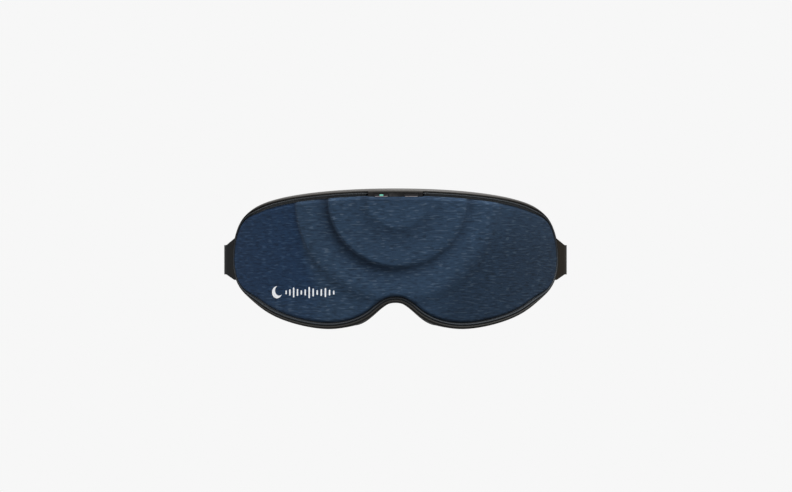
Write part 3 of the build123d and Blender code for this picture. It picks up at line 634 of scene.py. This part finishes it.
# ---- front cover -----------------------------------------------------------------------------
RING_PROFILE = [  # distance from the rings' centre, height above the plain cover
    (0, 2.0), (14, 2.2), (20.3, 2.4), (21.9, 1.85), (27, 1.75), (34, 1.95), (45.4, 2.3), (46.9, 0.15),
    (49, 0.25), (55, 1.0), (61, 1.4), (69.3, 1.6), (71.0, 0.0), (400, 0.0),
]
INNER_STEP, MIDDLE_STEP, OUTER_STEP = 21.5, 46.9, 70.5
COVER_INSET, COVER_INSET_AT_TOP, COVER_TOP_AT_STRIP = 3.9, 4.55, 40.9
COVER_THICK = 1.1
LAP_FROM, LAP_RADIUS = 39.0, 141.15  # where the cover laps over the strip
FOAM_SHRINK, FOAM_TOP_AT_STRIP = (0.955, 0.93), 38.4
FOAM_BELOW, FOAM_FRONT_LEAST, FOAM_BACK = 1.3, 137.2, 136.75


def ring_height(d, sigma, step=0.1):
    """Height of the rings at a distance from their centre, softened over sigma mm."""
    x = np.arange(-10, 90, step)
    y = np.interp(np.abs(x), *np.array(RING_PROFILE, float).T)
    k = np.exp(-0.5 * (np.arange(-4 * sigma, 4 * sigma + step, step) / sigma) ** 2)
    soft = np.convolve(np.pad(y, len(k) // 2, mode="edge"), k / k.sum(), mode="valid")
    return np.interp(d, x, soft[: len(x)])


def faces_inward(piece):
    """True if the middle face's normal points at the wearer."""
    return piece.data.polygons[len(piece.data.polygons) // 2].normal.y > 0


def distance_to(line, u, z):
    """How far each point (u, z) is from the nearest point of a line, worked out in blocks to save memory."""
    blocks = np.array_split(np.stack([u, z], -1).reshape(-1, 2), 60)
    nearest = [np.sqrt(((block[:, None] - line) ** 2).sum(-1)).min(1) for block in blocks]
    return np.concatenate(nearest).reshape(u.shape)


def beside(distance, width):
    """1 at the line, and fading away from it."""
    return np.exp(-((distance / width) ** 2))


def painted_shade_amount(d, down, middle_crisp, outer_crisp, upward, away, u):
    """How much painted shade darkens the knit: outside each step, and along the border."""
    inner, middle, outer = d - INNER_STEP, d - MIDDLE_STEP, d - OUTER_STEP
    inner = 0.46 * (0.3 + 0.7 * down) * beside(inner, 13) * smoothstep((inner + 1.5) / 2.4)
    middle = (0.36 + 0.46 * middle_crisp) * beside(middle, 6.5) * smoothstep((middle + 1.3) / 2)
    outer = 0.25 * outer_crisp * beside(outer, 3) * smoothstep((outer + 1.2) / 1.4)
    near_strip = smoothstep((STRIP_HALF + 8 - np.abs(u)) / 8) * np.clip(upward, 0, 1)
    low_border = 0.7 * np.clip(0.5 - 0.5 * upward, 0, 1) * beside(away, 0.7)
    top_border = 0.5 * np.clip(1.3 * upward, 0, 1) * (1 - near_strip) * beside(away, 1.2)
    return middle + inner + outer + low_border + 0.6 * near_strip * beside(away, 3.2) + top_border


def make_cover():
    columns, rows = 460, 150
    around = np.linspace(0, PERIMETER, 1600, endpoint=False)
    near_top = smoothstep((118 - from_top(around)) / 50)
    edge = rim_line(around, COVER_INSET + (COVER_INSET_AT_TOP - COVER_INSET) * near_top)
    right_end, left_end = edge[:, 0].argmax(), edge[:, 0].argmin()
    low = edge[right_end : left_end + 1]
    high = np.vstack([edge[left_end:], edge[: right_end + 1]])
    s = np.linspace(-1, 1, columns)
    u = np.sin(s * math.pi / 2) * (edge[:, 0].max() - 0.02)
    z_high = np.interp(u, high[:, 0], high[:, 1])
    z_low = np.interp(u, low[::-1, 0], low[::-1, 1])
    at_strip = smoothstep((STRIP_HALF + 0.9 - np.abs(u)) / 1.2)
    z_high = z_high - np.maximum(z_high - COVER_TOP_AT_STRIP, 0) * at_strip
    v = np.linspace(0, 1, rows)
    v = 0.55 * v + 0.45 * (0.5 - 0.5 * np.cos(math.pi * v))
    uu = np.repeat(u[None], rows, 0)
    zz = z_low[None] + (z_high - z_low)[None] * v[:, None]
    border = np.vstack([np.stack([u, z_high], -1), np.stack([u, z_low], -1)])
    away = distance_to(border, uu, zz)
    d = np.hypot(uu - RING_CENTRE[0], zz - RING_CENTRE[1])
    across = (uu - RING_CENTRE[0]) / np.maximum(d, 1.0)
    down = np.clip((RING_CENTRE[1] - zz) / np.maximum(d, 1.0), 0, 1)
    # the steps are crisp on the left and soft on the right, and the outer one also fades low down
    middle_crisp = 0.22 + 0.78 * smoothstep((0.45 - across) / 0.9)
    outer_crisp = 0.18 + 0.82 * smoothstep((-across - 0.25) / 0.5)
    outer_crisp = outer_crisp * (1 - 0.85 * smoothstep((down - 0.3) / 0.4))
    crisp = np.where(d < 34, 0.3, np.where(d < 57, middle_crisp, outer_crisp))
    height = ring_height(d, 0.45) * crisp + ring_height(d, 2.6) * (1 - crisp)
    # the cover rolls over at its border
    upward = np.clip((zz - 0.5 * (z_low + z_high)[None]) / 20, -1, 1)
    roll = (2.3 + 0.3 * upward) * (0.35 + 0.65 * rim_scale(uu))
    drop = 1.5 * np.clip(1 - away / roll, 0, 1) ** 2
    r = R_COVER + height - drop
    make_foam(uu, zz, r, border)
    # it laps over the control strip's lower edge
    over_strip = (np.abs(uu) < STRIP_HALF + 0.9) & (zz > LAP_FROM)
    r = np.where(over_strip, np.maximum(r, LAP_RADIUS), r)
    uv = np.stack([uu, zz], -1) * MM
    cover = add_mesh("knit_cover", on_arc(uu, zz, r), grid_faces(rows, columns), uv)
    # painted shade: the knit is painted darker outside each ring step and along its border
    set_attribute(cover, "painted_crease_shade", painted_shade_amount(d, down, middle_crisp, outer_crisp, upward, away, uu))
    # painted shade: the knit is painted darker and bluer towards the left, and darker towards the right
    outside = smoothstep((d - OUTER_STEP + 1.1) / (1.8 + 14 * (1 - outer_crisp)))
    left_painted_shade = outside * smoothstep((-uu - 45) / 15) * (0.45 + 0.55 * smoothstep((zz + 34) / 16))
    right_painted_shade = smoothstep((uu - 15 - 0.75 * (zz + 25)) / 35) * (1 - 0.3 * smoothstep((zz - 2) / 22))
    set_attribute(cover, "left_painted_shade", left_painted_shade)
    set_attribute(cover, "right_painted_shade", right_painted_shade)
    add_modifier(cover, "SOLIDIFY", thickness=COVER_THICK * MM, offset=1.0 if faces_inward(cover) else -1.0)
    paint(cover, "cover_knit")
    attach(cover, "mask")
    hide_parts("front_cover")


def make_foam(uu, zz, r_cover, border):
    """The foam under the cover: it fills the rings, and stops short of the border and the strip."""
    middle = 0.5 * (zz[:1] + zz[-1:])
    u = uu[::3, ::4] * FOAM_SHRINK[0]
    z = middle[:, ::4] + (zz - middle)[::3, ::4] * FOAM_SHRINK[1]
    z = np.where(np.abs(u) < STRIP_HALF + 3, np.minimum(z, FOAM_TOP_AT_STRIP), z)
    front = r_cover[::3, ::4] - FOAM_BELOW - 0.6 * np.clip(1 - distance_to(border[::3], u, z) / 5, 0, 1)
    rows, columns = u.shape
    points = np.stack([on_arc(u, z, np.maximum(front, FOAM_FRONT_LEAST)), on_arc(u, z, FOAM_BACK)])
    sheet = grid_faces(rows, columns)
    side = rows * columns
    rim = np.concatenate([
        np.arange(columns), np.arange(1, rows) * columns + columns - 1,
        (rows - 1) * columns + np.arange(columns - 2, -1, -1), np.arange(rows - 2, 0, -1) * columns,
    ])
    wall = np.stack([rim, np.roll(rim, -1), np.roll(rim, -1) + side, rim + side], -1)
    faces = np.vstack([sheet, sheet[:, ::-1] + side, wall[:, ::-1]])
    foam = add_mesh("foam_pad", points, faces)
    paint(foam, "foam")
    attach(foam, "mask")
    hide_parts("foam_layer")


make_cover()


# ---- edge trim -------------------------------------------------------------------------------
BAND_PROFILE = [  # inset from the outline, radius, once round
    (3.9, 127.0), (0.35, 127.0), (0.05, 127.3), (0.0, 128.2), (0.0, 131.6), (0.18, 131.85), (0.0, 132.1),
    (0.0, 136.6), (-0.15, 137.8), (-0.25, 138.6), (-0.15, 139.35), (0.2, 139.9), (0.6, 140.3), (1.0, 140.42),
    (1.4, 140.38), (1.65, 140.15), (1.75, 139.75), (1.8, 139.0), (1.95, 136.8), (2.6, 136.5), (3.9, 136.45),
    (3.9, 131.5), (3.9, 131.35),
]
LIP_TILT_AT_TOP = 0.5  # extra slope of the lip where it faces up
PIPING_INSET, PIPING_RADIUS, PIPING_SIZE = 2.8, 139.55, (0.8, 0.47)
TAPE_PROFILE = [
    (1.75, 137.2), (1.8, 139.0), (2.4, 139.2), (3.3, 138.8), (4.7, 137.8), (5.4, 136.9), (3.2, 136.6),
]


def stations(spacing, extra=()):
    """Lengths round the outline, evenly spaced, with some extra ones."""
    s = np.arange(0, PERIMETER, spacing)
    return np.unique(np.concatenate([s, np.mod(extra, PERIMETER)]))


def make_band():
    notch = STRIP_HALF + 0.2
    s = stations(1.25, [sign * notch + x for sign in (-1, 1) for x in (-0.06, 0.06)])
    points, uv = [], []
    for (inset, r), v in zip(BAND_PROFILE, length_along(BAND_PROFILE)):
        at_strip = (from_top(s) < notch) & (r > 131.4)
        if r > 139.2:
            r = r + LIP_TILT_AT_TOP * (inset - 1.2) * smoothstep((95 - from_top(s)) / 40)
        if 1.3 < inset < 1.9:  # the lip is wider above the strip
            inset, r = np.where(at_strip, inset + 0.6, inset), np.where(at_strip, r + 0.15, r)
        p = rim_line(s, np.where(at_strip, np.minimum(inset, 2.46), inset))
        points.append(on_arc(*p.T, r))
        uv.append(np.stack([s, np.full_like(s, v)], -1) * MM)
    band = add_mesh("edge_trim", np.array(points), grid_faces(len(points), len(s), True, True), np.array(uv))
    # painted highlight: the trim is painted lighter and glossier along the top and away from the two ends
    away_from_ends = (rim_scale(outline_at(s)[:, 0]) - 0.3) / 0.7
    upper = np.maximum(beside(from_top(s), 34), 0.85 * smoothstep((116 - from_top(s)) / 34))
    set_attribute(band, "wear_and_painted_highlight", np.broadcast_to(0.42 * away_from_ends + 0.58 * upper, (len(points), len(s))))
    paint(band, "graphite_plastic")
    band.data.materials[0] = trim_satin("edge_trim_satin", (0.0105, 0.0112, 0.0112), (0.034, 0.031, 0.0275))
    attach(band, "mask")
    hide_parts("trim_band")


def tube(name, centres, normals, sideways, radii, along, sides, twist=None):
    """A tube with closed ends through centres (metres), half sizes (mm) along normals and sideways."""
    phi = np.linspace(0, 2 * math.pi, sides, endpoint=False)
    swell = np.ones((len(centres), sides))
    if twist is not None:
        swell = 1 + 0.09 * np.cos(3 * phi[None] + twist[:, None])
    ring = normals[:, None] * (np.cos(phi) * radii[0] * MM)[None, :, None] * swell[..., None]
    ring = ring + sideways[:, None] * (np.sin(phi) * radii[1] * MM)[None, :, None] * swell[..., None]
    uv = np.stack(np.broadcast_arrays(along[:, None], phi[None] / (2 * math.pi) * 0.004), -1)
    return add_mesh(name, centres[:, None] + ring, tube_faces(len(centres), sides), uv)


def make_piping():
    s = np.arange(STRIP_HALF + 0.5, PERIMETER - STRIP_HALF - 0.5, 0.45)
    p = rim_line(s, PIPING_INSET)
    inner = p + (outline_at(s, PIPING_INSET + 1.0) - outline_at(s, PIPING_INSET))
    centre = on_arc(*p.T, PIPING_RADIUS)
    inward = on_arc(*inner.T, PIPING_RADIUS) - centre
    outward = on_arc(*p.T, PIPING_RADIUS + 1) - centre
    twist = s * 2 * math.pi / 2.6
    bead = tube("edge_piping", centre, outward / MM, inward / MM, PIPING_SIZE, s * MM, 12, twist)
    paint(bead, "piping_cord")
    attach(bead, "mask")
    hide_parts("piping")


def make_tape():
    """A sewing tape under the bead closes the groove."""
    points, uv = [], []
    s = stations(1.5)
    for inset, r in TAPE_PROFILE:
        p = rim_line(s, inset)
        points.append(on_arc(*p.T, r))
        uv.append(np.stack([s, np.full_like(s, inset)], -1) * MM)
    near_strip = from_top(s) < STRIP_HALF + 0.8
    faces = [f for f in grid_faces(len(points), len(s), True, True) if not near_strip[f % len(s)].any()]
    tape = add_mesh("edge_tape", np.array(points), faces, np.array(uv))
    paint(tape, "piping_cord")
    tape.data.materials[0] = braid("edge_tape_braid", (0.034, 0.039, 0.044), (0.075, 0.08, 0.085))
    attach(tape, "mask")


make_band()
make_piping()
make_tape()


# ---- soft pieces on the face side --------------------------------------------------------------
def remeshed_copy(node, name, voxel, relax):
    """A new piece from a CAD node's shape, as an even mesh with its edges relaxed."""
    piece = add_object(name, NODES[node].data.copy())
    piece.data.materials.clear()
    add_modifier(piece, "WELD", merge_threshold=2e-6)
    add_modifier(piece, "REMESH", mode="VOXEL", voxel_size=voxel * MM)
    add_modifier(piece, "SMOOTH", factor=0.5, iterations=relax)
    smooth_all(piece)
    return piece


SWELL_CAP, PRESSURE, LAST_FRAME = 2.4, 4.0, 20


def inflate(piece, weights):
    """Blows the piece up with cloth pressure, keeping each point's travel under the cap times its weight."""
    rest = get_points(piece)
    cloth = piece.modifiers.new("cloth", "CLOTH")
    cloth.settings.quality = 4
    cloth.settings.mass = 0.2
    cloth.settings.use_pressure = True
    cloth.settings.uniform_pressure_force = PRESSURE
    cloth.settings.effector_weights.gravity = 0.0
    cloth.settings.tension_stiffness = 12
    cloth.settings.bending_stiffness = 0.4
    cloth.point_cache.frame_start, cloth.point_cache.frame_end = 1, LAST_FRAME
    for number in range(1, LAST_FRAME + 1):
        bpy.context.scene.frame_set(number)
    move = get_points(piece.evaluated_get(bpy.context.evaluated_depsgraph_get())) - rest
    piece.modifiers.remove(cloth)
    bpy.context.scene.frame_set(1)
    length = np.linalg.norm(move, axis=1, keepdims=True)
    limit = np.maximum(SWELL_CAP * MM * weights[:, None], 1e-9)
    set_points(piece, rest + move * np.minimum(1.0, limit / np.maximum(length, 1e-9)))


def eye_space(points):
    """How far out a point is across the nearer eye opening: 1 is the opening's edge."""
    u, z, r = to_layout(points)
    out = []
    for side in (-1, 1):
        across = r * np.sin(u / R_OUTLINE - math.radians(side * EYE_ANGLE))
        out.append(np.hypot(across / EYE_HALF[0], (z - EYE_Z) / EYE_HALF[1]))
    return np.minimum(*out)


def make_cushion():
    cushion = remeshed_copy("face_cushion", "face_cushion_pad", 1.8, 9)
    points = get_points(cushion)
    _, _, r = to_layout(points)
    # the face side swells, and hardly at all round the eye openings
    weights = smoothstep((115.0 - r) / 6.0) * (0.12 + 0.88 * smoothstep((eye_space(points) - 1.02) / 0.3))
    inflate(cushion, weights)
    add_modifier(cushion, "SMOOTH", factor=0.4, iterations=2)
    add_modifier(cushion, "SUBSURF", levels=1)
    smooth_all(cushion)
    paint(cushion, "cushion_leather")
    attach(cushion, "mask")
    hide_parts("face_cushion")
    return cushion


SEAM_INSET, SEAM_RADIUS, SEAM_REACH, WELT_RADIUS = 1.2, 99.0, 5.5, 0.7
WELT_LIFT, STITCHES_BESIDE = 0.0001, 0.0017  # metres


def seam_on(cushion, s):
    """The points of the cushion's skin nearest to the seam line, their normals and how far off they are."""
    skin = skin_of(cushion)
    p = outline_at(s, SEAM_INSET)
    hits = [skin.find_nearest(Vector(start)) for start in on_arc(*p.T, SEAM_RADIUS)]
    return np.array([h[0] for h in hits]), np.array([h[1] for h in hits]), np.array([h[3] for h in hits])


def evened(points):
    """An open line of points with its small wobbles smoothed out."""
    for _ in range(4):
        points = np.vstack([points[:1], 0.5 * points[1:-1] + 0.25 * (points[:-2] + points[2:]), points[-1:]])
    return points


def make_seams(cushion):
    s = np.arange(0, PERIMETER, 0.9)
    on_skin, normals, off = seam_on(cushion, s)
    # the cushion is open at the nose, so the seam runs round from one side of the arch to the other
    kept = np.flatnonzero(off < SEAM_REACH * MM)
    order = np.roll(kept, -(int(np.diff(kept).argmax()) + 1))
    on_skin, normals, s = evened(on_skin[order]), unit(evened(normals[order])), s[: len(order)]
    across = np.cross(unit(np.gradient(on_skin, axis=0)), normals)
    centres = on_skin + normals * WELT_LIFT
    welt = tube("cushion_welt", centres, normals, across, (WELT_RADIUS, WELT_RADIUS), s * MM, 10)
    paint(welt, "cushion_leather")
    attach(welt, "mask")
    beside_welt = on_skin + across * STITCHES_BESIDE
    stitch_row("cushion_stitches", beside_welt, 3.1, 1.9, normals, "mask", skin_of(cushion))


THREAD_PROFILE = [(-0.5, 0.25), (-0.42, 0.75), (-0.2, 1.0), (0.2, 1.0), (0.42, 0.75), (0.5, 0.25)]
THREAD_RADIUS, THREAD_LIFT, THREAD_SINK = 0.00024, 0.00012, 0.00010  # metres
THREAD_SIDES = 6


def stitch_row(name, line, pitch, length, normals, body, skin=None):
    """Short threads along a line in metres, set on the skin if there is one. pitch and length are mm."""
    at = length_along(line)
    verts, faces, uv = [], [], []
    for start in np.arange(0.5 * pitch * MM, at[-1] - 0.5 * length * MM, pitch * MM):
        q = np.array([start + t * length * MM for t, _ in THREAD_PROFILE])
        middle = np.stack([np.interp(q, at, line[:, i]) for i in range(3)], -1)
        n = np.stack([np.interp(q, at, normals[:, i]) for i in range(3)], -1)
        if skin is not None:
            for k, point in enumerate(middle):
                middle[k], n[k] = skin.find_nearest(Vector(point))[:2]
        n = unit(n)
        across = np.cross(unit(middle[-1] - middle[0]), n)
        base = len(verts)
        for k, (_, size) in enumerate(THREAD_PROFILE):
            lift = THREAD_LIFT * size - THREAD_SINK * (1 - size)
            for j in range(THREAD_SIDES):
                a = 2 * math.pi * j / THREAD_SIDES
                ring = (math.cos(a) * n[k] + math.sin(a) * across[k]) * THREAD_RADIUS * size
                verts.append(middle[k] + n[k] * lift + ring)
                uv.append((q[k], j * 0.0002))
        faces += [[base + i for i in face] for face in tube_faces(len(THREAD_PROFILE), THREAD_SIDES)]
    threads = add_mesh(name, verts, faces, uv, THREAD)
    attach(threads, body)


make_seams(make_cushion())


def make_nose_seal():
    seal = remeshed_copy("nose_seal", "nose_seal_fabric", 0.55, 3)
    points = get_points(seal)
    set_uv(seal.data, np.stack([points[:, 1], points[:, 2] + np.abs(points[:, 0])], -1))
    paint(seal, "nose_fabric")
    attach(seal, "mask")
    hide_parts("nose_seal")


make_nose_seal()


PAD_FACE, PAD_BACK = 106.5, 111.5
NODULES = ((7, 0.3, 0), (13, 0.52, 0.5), (18, 0.71, 0))  # how many, how far out, turned by
NODULE_HEIGHT, NODULE_RADIUS = 0.75, 1.35
HOLLOW_DEPTH, RIM_DROP, LINE_DEPTH = 1.2, 2.2, 0.35


def make_eye_pad(side):
    """A silicone pad: rounded rim, shallow eye hollow and three ovals of massage nodules."""
    label = "left" if side < 0 else "right"
    rings, spokes = 84, 168
    wide, high = PAD_HALF
    e = math.radians(side * EYE_ANGLE)
    rho = np.linspace(0, 1, rings)
    phi = np.linspace(0, 2 * math.pi, spokes, endpoint=False)
    rr, pp = np.meshgrid(rho, phi, indexing="ij")
    x, z = wide * rr * np.cos(pp), high * rr * np.sin(pp)
    # distance of the face from the head's axis: hollow, rounded rim, moulded line, nodules
    w = PAD_FACE + HOLLOW_DEPTH * np.clip(1 - (rr / 0.8) ** 2, 0, 1) ** 1.5
    edge_gap = np.clip((rr - 0.9) / 0.1, 0, 1)
    w = w + RIM_DROP * (1 - np.sqrt(np.clip(1 - edge_gap**2, 0, 1)))
    w = w + LINE_DEPTH * beside(rr - 0.84, 0.018)
    for count, at, turn in NODULES:
        for k in range(count):
            a = 2 * math.pi * (k + turn) / count
            gap = np.hypot(x - wide * at * math.cos(a), z - high * at * math.sin(a))
            w = w - NODULE_HEIGHT * np.clip(1 - (gap / NODULE_RADIUS) ** 2, 0, 1) ** 1.2
    xs = np.vstack([x, x[-1:], 0.96 * x[-1:], 0.5 * x[-1:]])
    zs = np.vstack([z, z[-1:], 0.96 * z[-1:], 0.5 * z[-1:]])
    ws = np.vstack([w] + [np.full((1, spokes), back) for back in (PAD_BACK - 0.3, PAD_BACK, PAD_BACK)])
    px = ws * math.sin(e) + xs * math.cos(e)
    py = AXIS_Y - ws * math.cos(e) + xs * math.sin(e)
    points = np.stack([px, py, zs + EYE_Z], -1) * MM
    faces = grid_faces(rings + 3, spokes, False, True).tolist()
    last = (rings + 2) * spokes
    faces.append([last + j for j in range(spokes)])
    pad = add_mesh(f"{label}_eye_pad", points, faces)
    add_modifier(pad, "WELD", merge_threshold=1e-6)
    smooth_all(pad)
    paint(pad, "pad_silicone")
    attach(pad, f"{label}_pad")
    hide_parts(f"{label}_massage_pad")


for side in (-1, 1):
    make_eye_pad(side)


# ---- strap -----------------------------------------------------------------------------------
def strap_frame():
    """Plan in mm of the right bar, the directions along and across the strap, and where it meets the head."""
    bar = np.array(BAR_AT)
    centre = np.array([0.0, HEAD_CENTRE_Y])
    reach = HEAD_R + BAR_OFFSET
    to_bar = bar - centre
    angle = math.atan2(to_bar[1], to_bar[0]) + math.acos(reach / np.hypot(*to_bar))
    touch = centre + np.array([math.cos(angle), math.sin(angle)]) * reach
    along = (touch - bar) / np.hypot(*(touch - bar))
    return bar, along, turned(along), touch, angle


def strap_path(doubled):
    """Plan of the right-hand strap in mm: doubled end, round the bar, along the head, up to the joint."""
    bar, along, normal, touch, angle = strap_frame()
    outer = []
    for x in np.arange(doubled, 0.5, -1.2):
        shut = 0.0 if doubled == RETURN_LENGTH else float(smoothstep((x - 1.0) / 8.0))
        outer.append(bar + normal * (BAR_OFFSET - (2 * BAR_OFFSET - LAP) * shut) + along * x)
    turn = [
        bar + BAR_OFFSET * (math.cos(a) * normal - math.sin(a) * along) for a in np.linspace(0, math.pi, 13)
    ]
    length = np.hypot(*(touch - bar))
    run = [bar - normal * BAR_OFFSET + along * x for x in np.arange(1.2, length, 1.2)]
    arc = []
    for a in np.arange(angle, math.radians(66.0), 1.2 / HEAD_R):
        lift = LAP * float(smoothstep((math.degrees(a) - 54.0) / 4.0))
        arc.append(np.array([0, HEAD_CENTRE_Y]) + (HEAD_R + lift) * np.array([math.cos(a), math.sin(a)]))
    return np.array(outer + turn + run + arc)


def strap_section():
    """Half thickness and height round the strap's section: ribs along both faces, rounded selvedges."""
    half = STRAP_WIDTH / 2
    v = np.linspace(-half + 0.55, half - 0.55, 29)
    rib = 0.07 * np.cos(v * 2 * math.pi / 1.74)
    face = np.stack([STRAP_THICK / 2 - 0.07 + rib, v], -1)
    a = np.linspace(-math.pi / 2, math.pi / 2, 7)[1:-1]
    end = np.stack([-np.sin(a) * 0.6, half - 0.55 + np.cos(a) * 0.55], -1)
    back = np.stack([-face[::-1, 0], face[::-1, 1]], -1)
    return np.vstack([face, end, back, -end])


def lay_strap(name, plan, side):
    """A strap standing on a plan line in mm."""
    section = strap_section()
    if side < 0:
        plan = plan * [-1, 1]
    across = turned(unit(np.gradient(plan, axis=0)))
    at = length_along(plan)
    xy = plan[:, None] + across[:, None] * section[None, :, :1]
    points = np.concatenate([xy, np.broadcast_to(section[None, :, 1:], (*xy.shape[:2], 1))], -1) * MM
    uv = np.stack(np.broadcast_arrays(at[:, None], length_along(section)[None]), -1) * MM
    return paint(add_mesh(name, points, tube_faces(len(plan), len(section)), uv), "strap_elastic")


def head_arc(first, last, radius):
    a = np.radians(np.arange(first, last + 0.01, 0.8))
    return np.stack([radius * np.cos(a), HEAD_CENTRE_Y + radius * np.sin(a)], -1)


def make_straps():
    bar, along, normal, _, _ = strap_frame()
    for side, label, doubled in ((1, "right", RETURN_LENGTH), (-1, "left", STITCHED_LENGTH)):
        piece = lay_strap(f"{label}_strap", strap_path(doubled), side)
        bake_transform(piece)
        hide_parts(*[n for n in NODES if n.startswith(f"strap_{label}_")])
        # box stitching where the strap's end is sewn to the back band
        box_stitches(f"{label}_joint_stitches", head_arc(58.8, 65.4, HEAD_R + 2.1) * [side, 1], "mask", side)
    back = lay_strap("back_strap", head_arc(57.6, 122.4, HEAD_R), 1)
    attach(back, "mask")
    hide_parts("strap_back")
    sewn_at = -BAR_OFFSET + LAP + 0.68
    sewn = np.array([bar + normal * sewn_at + along * x for x in np.arange(9.4, 16.4, 0.6)]) * [-1, 1]
    box_stitches("left_end_stitches", sewn, "left_arm", -1)


def box_stitches(name, plan, body, side):
    """Thread in a rectangle with a cross in it, on the outside of the strap along a plan line in mm."""
    at = length_along(plan)
    total, high = at[-1], 5.4
    corners = [(0, -high), (total, -high), (total, high), (0, high), (0, -high), (total, high)]
    corners += [(total, -high), (0, high)]
    outward = turned(unit(np.gradient(plan, axis=0)))
    if outward[0] @ (plan[0] - np.array([0, HEAD_CENTRE_Y])) < 0:
        outward = -outward
    line, normals = [], []
    for (x0, z0), (x1, z1) in zip(corners[:-1], corners[1:]):
        for t in np.linspace(0, 1, 16):
            x = x0 + (x1 - x0) * t
            spot = [np.interp(x, at, plan[:, 0]), np.interp(x, at, plan[:, 1]), z0 + (z1 - z0) * t]
            line.append(np.array(spot) * MM)
            normals.append([np.interp(x, at, outward[:, 0]), np.interp(x, at, outward[:, 1]), 0.0])
    stitch_row(name, np.array(line), 1.7, 1.2, np.array(normals), body)


make_straps()


# ---- stage, light and camera -----------------------------------------------------------------
FLOOR_RADIUS, FLOOR_Z = 6, -0.75
SKY = [(0.0, 0.2), (0.3, 0.28), (0.455, 0.93), (0.545, 0.93), (0.7, 1.3), (0.85, 2.0), (1.0, 2.6)]
CAMERA_AT, CAMERA_LENS = (0.00034, -2.940, 0.00838), 200.0


def make_stage():
    sides = 96
    a = np.linspace(0, 2 * math.pi, sides, endpoint=False)
    rim = np.stack([FLOOR_RADIUS * np.cos(a), FLOOR_RADIUS * np.sin(a), np.full(sides, FLOOR_Z)], -1)
    g = Graph("pale_floor", (0.86, 0.86, 0.86), 0.9, specular=0.1)
    g.set("Base Color", g.mix(g.noise(g.place(scale=(3, 3, 3))), (0.84, 0.84, 0.84), (0.88, 0.88, 0.88)))
    floor = add_mesh("floor", rim, [list(range(sides))], None, g.material)
    floor.visible_diffuse = floor.visible_glossy = False


def make_world():
    """Grey light: even round the horizon, which is the backdrop, brighter above and darker below."""
    world = bpy.data.worlds.new("studio")
    bpy.context.scene.world = world
    world.use_nodes = True
    tree = world.node_tree
    ways = tree.nodes.new("ShaderNodeTexCoord")
    split = tree.nodes.new("ShaderNodeSeparateXYZ")
    scaled = tree.nodes.new("ShaderNodeMapRange")
    scaled.inputs["From Min"].default_value = -1.0
    ramp = tree.nodes.new("ShaderNodeValToRGB")
    tree.links.new(ways.outputs["Generated"], split.inputs[0])
    tree.links.new(split.outputs[2], scaled.inputs["Value"])
    tree.links.new(scaled.outputs[0], ramp.inputs[0])
    tree.links.new(ramp.outputs[0], tree.nodes["Background"].inputs[0])
    stops = ramp.color_ramp.elements
    ends = {0.0: 0, 1.0: -1}  # a new ramp has these two
    for position, value in SKY:
        stop = stops[ends[position]] if position in ends else stops.new(position)
        stop.color = (value, value, value, 1.0)


def add_area(name, location, target, size, power):
    light = bpy.data.lights.new(name, "AREA")
    light.shape, light.size, light.size_y, light.energy = "RECTANGLE", size[0], size[1], power
    lamp = add_object(name, light)
    lamp.location = location
    lamp.rotation_euler = (Vector(target) - Vector(location)).to_track_quat("-Z", "Y").to_euler()


def make_camera():
    data = bpy.data.cameras.new("camera")
    data.sensor_width, data.lens = 36.0, CAMERA_LENS
    data.clip_start, data.clip_end = 0.05, 60.0
    camera = add_object("camera", data)
    camera.location = CAMERA_AT
    camera.rotation_euler = (math.radians(90), 0, 0)
    bpy.context.scene.camera = camera


make_stage()
make_world()
add_area("key", (0.45, -0.55, 1.6), (0, 0, 0), (0.7, 0.45), 26.0)
add_area("top", (0.1, -0.1, 1.3), (0, 0, 0), (0.5, 0.35), 12.0)
make_camera()
bpy.context.scene.view_settings.view_transform = "Standard"
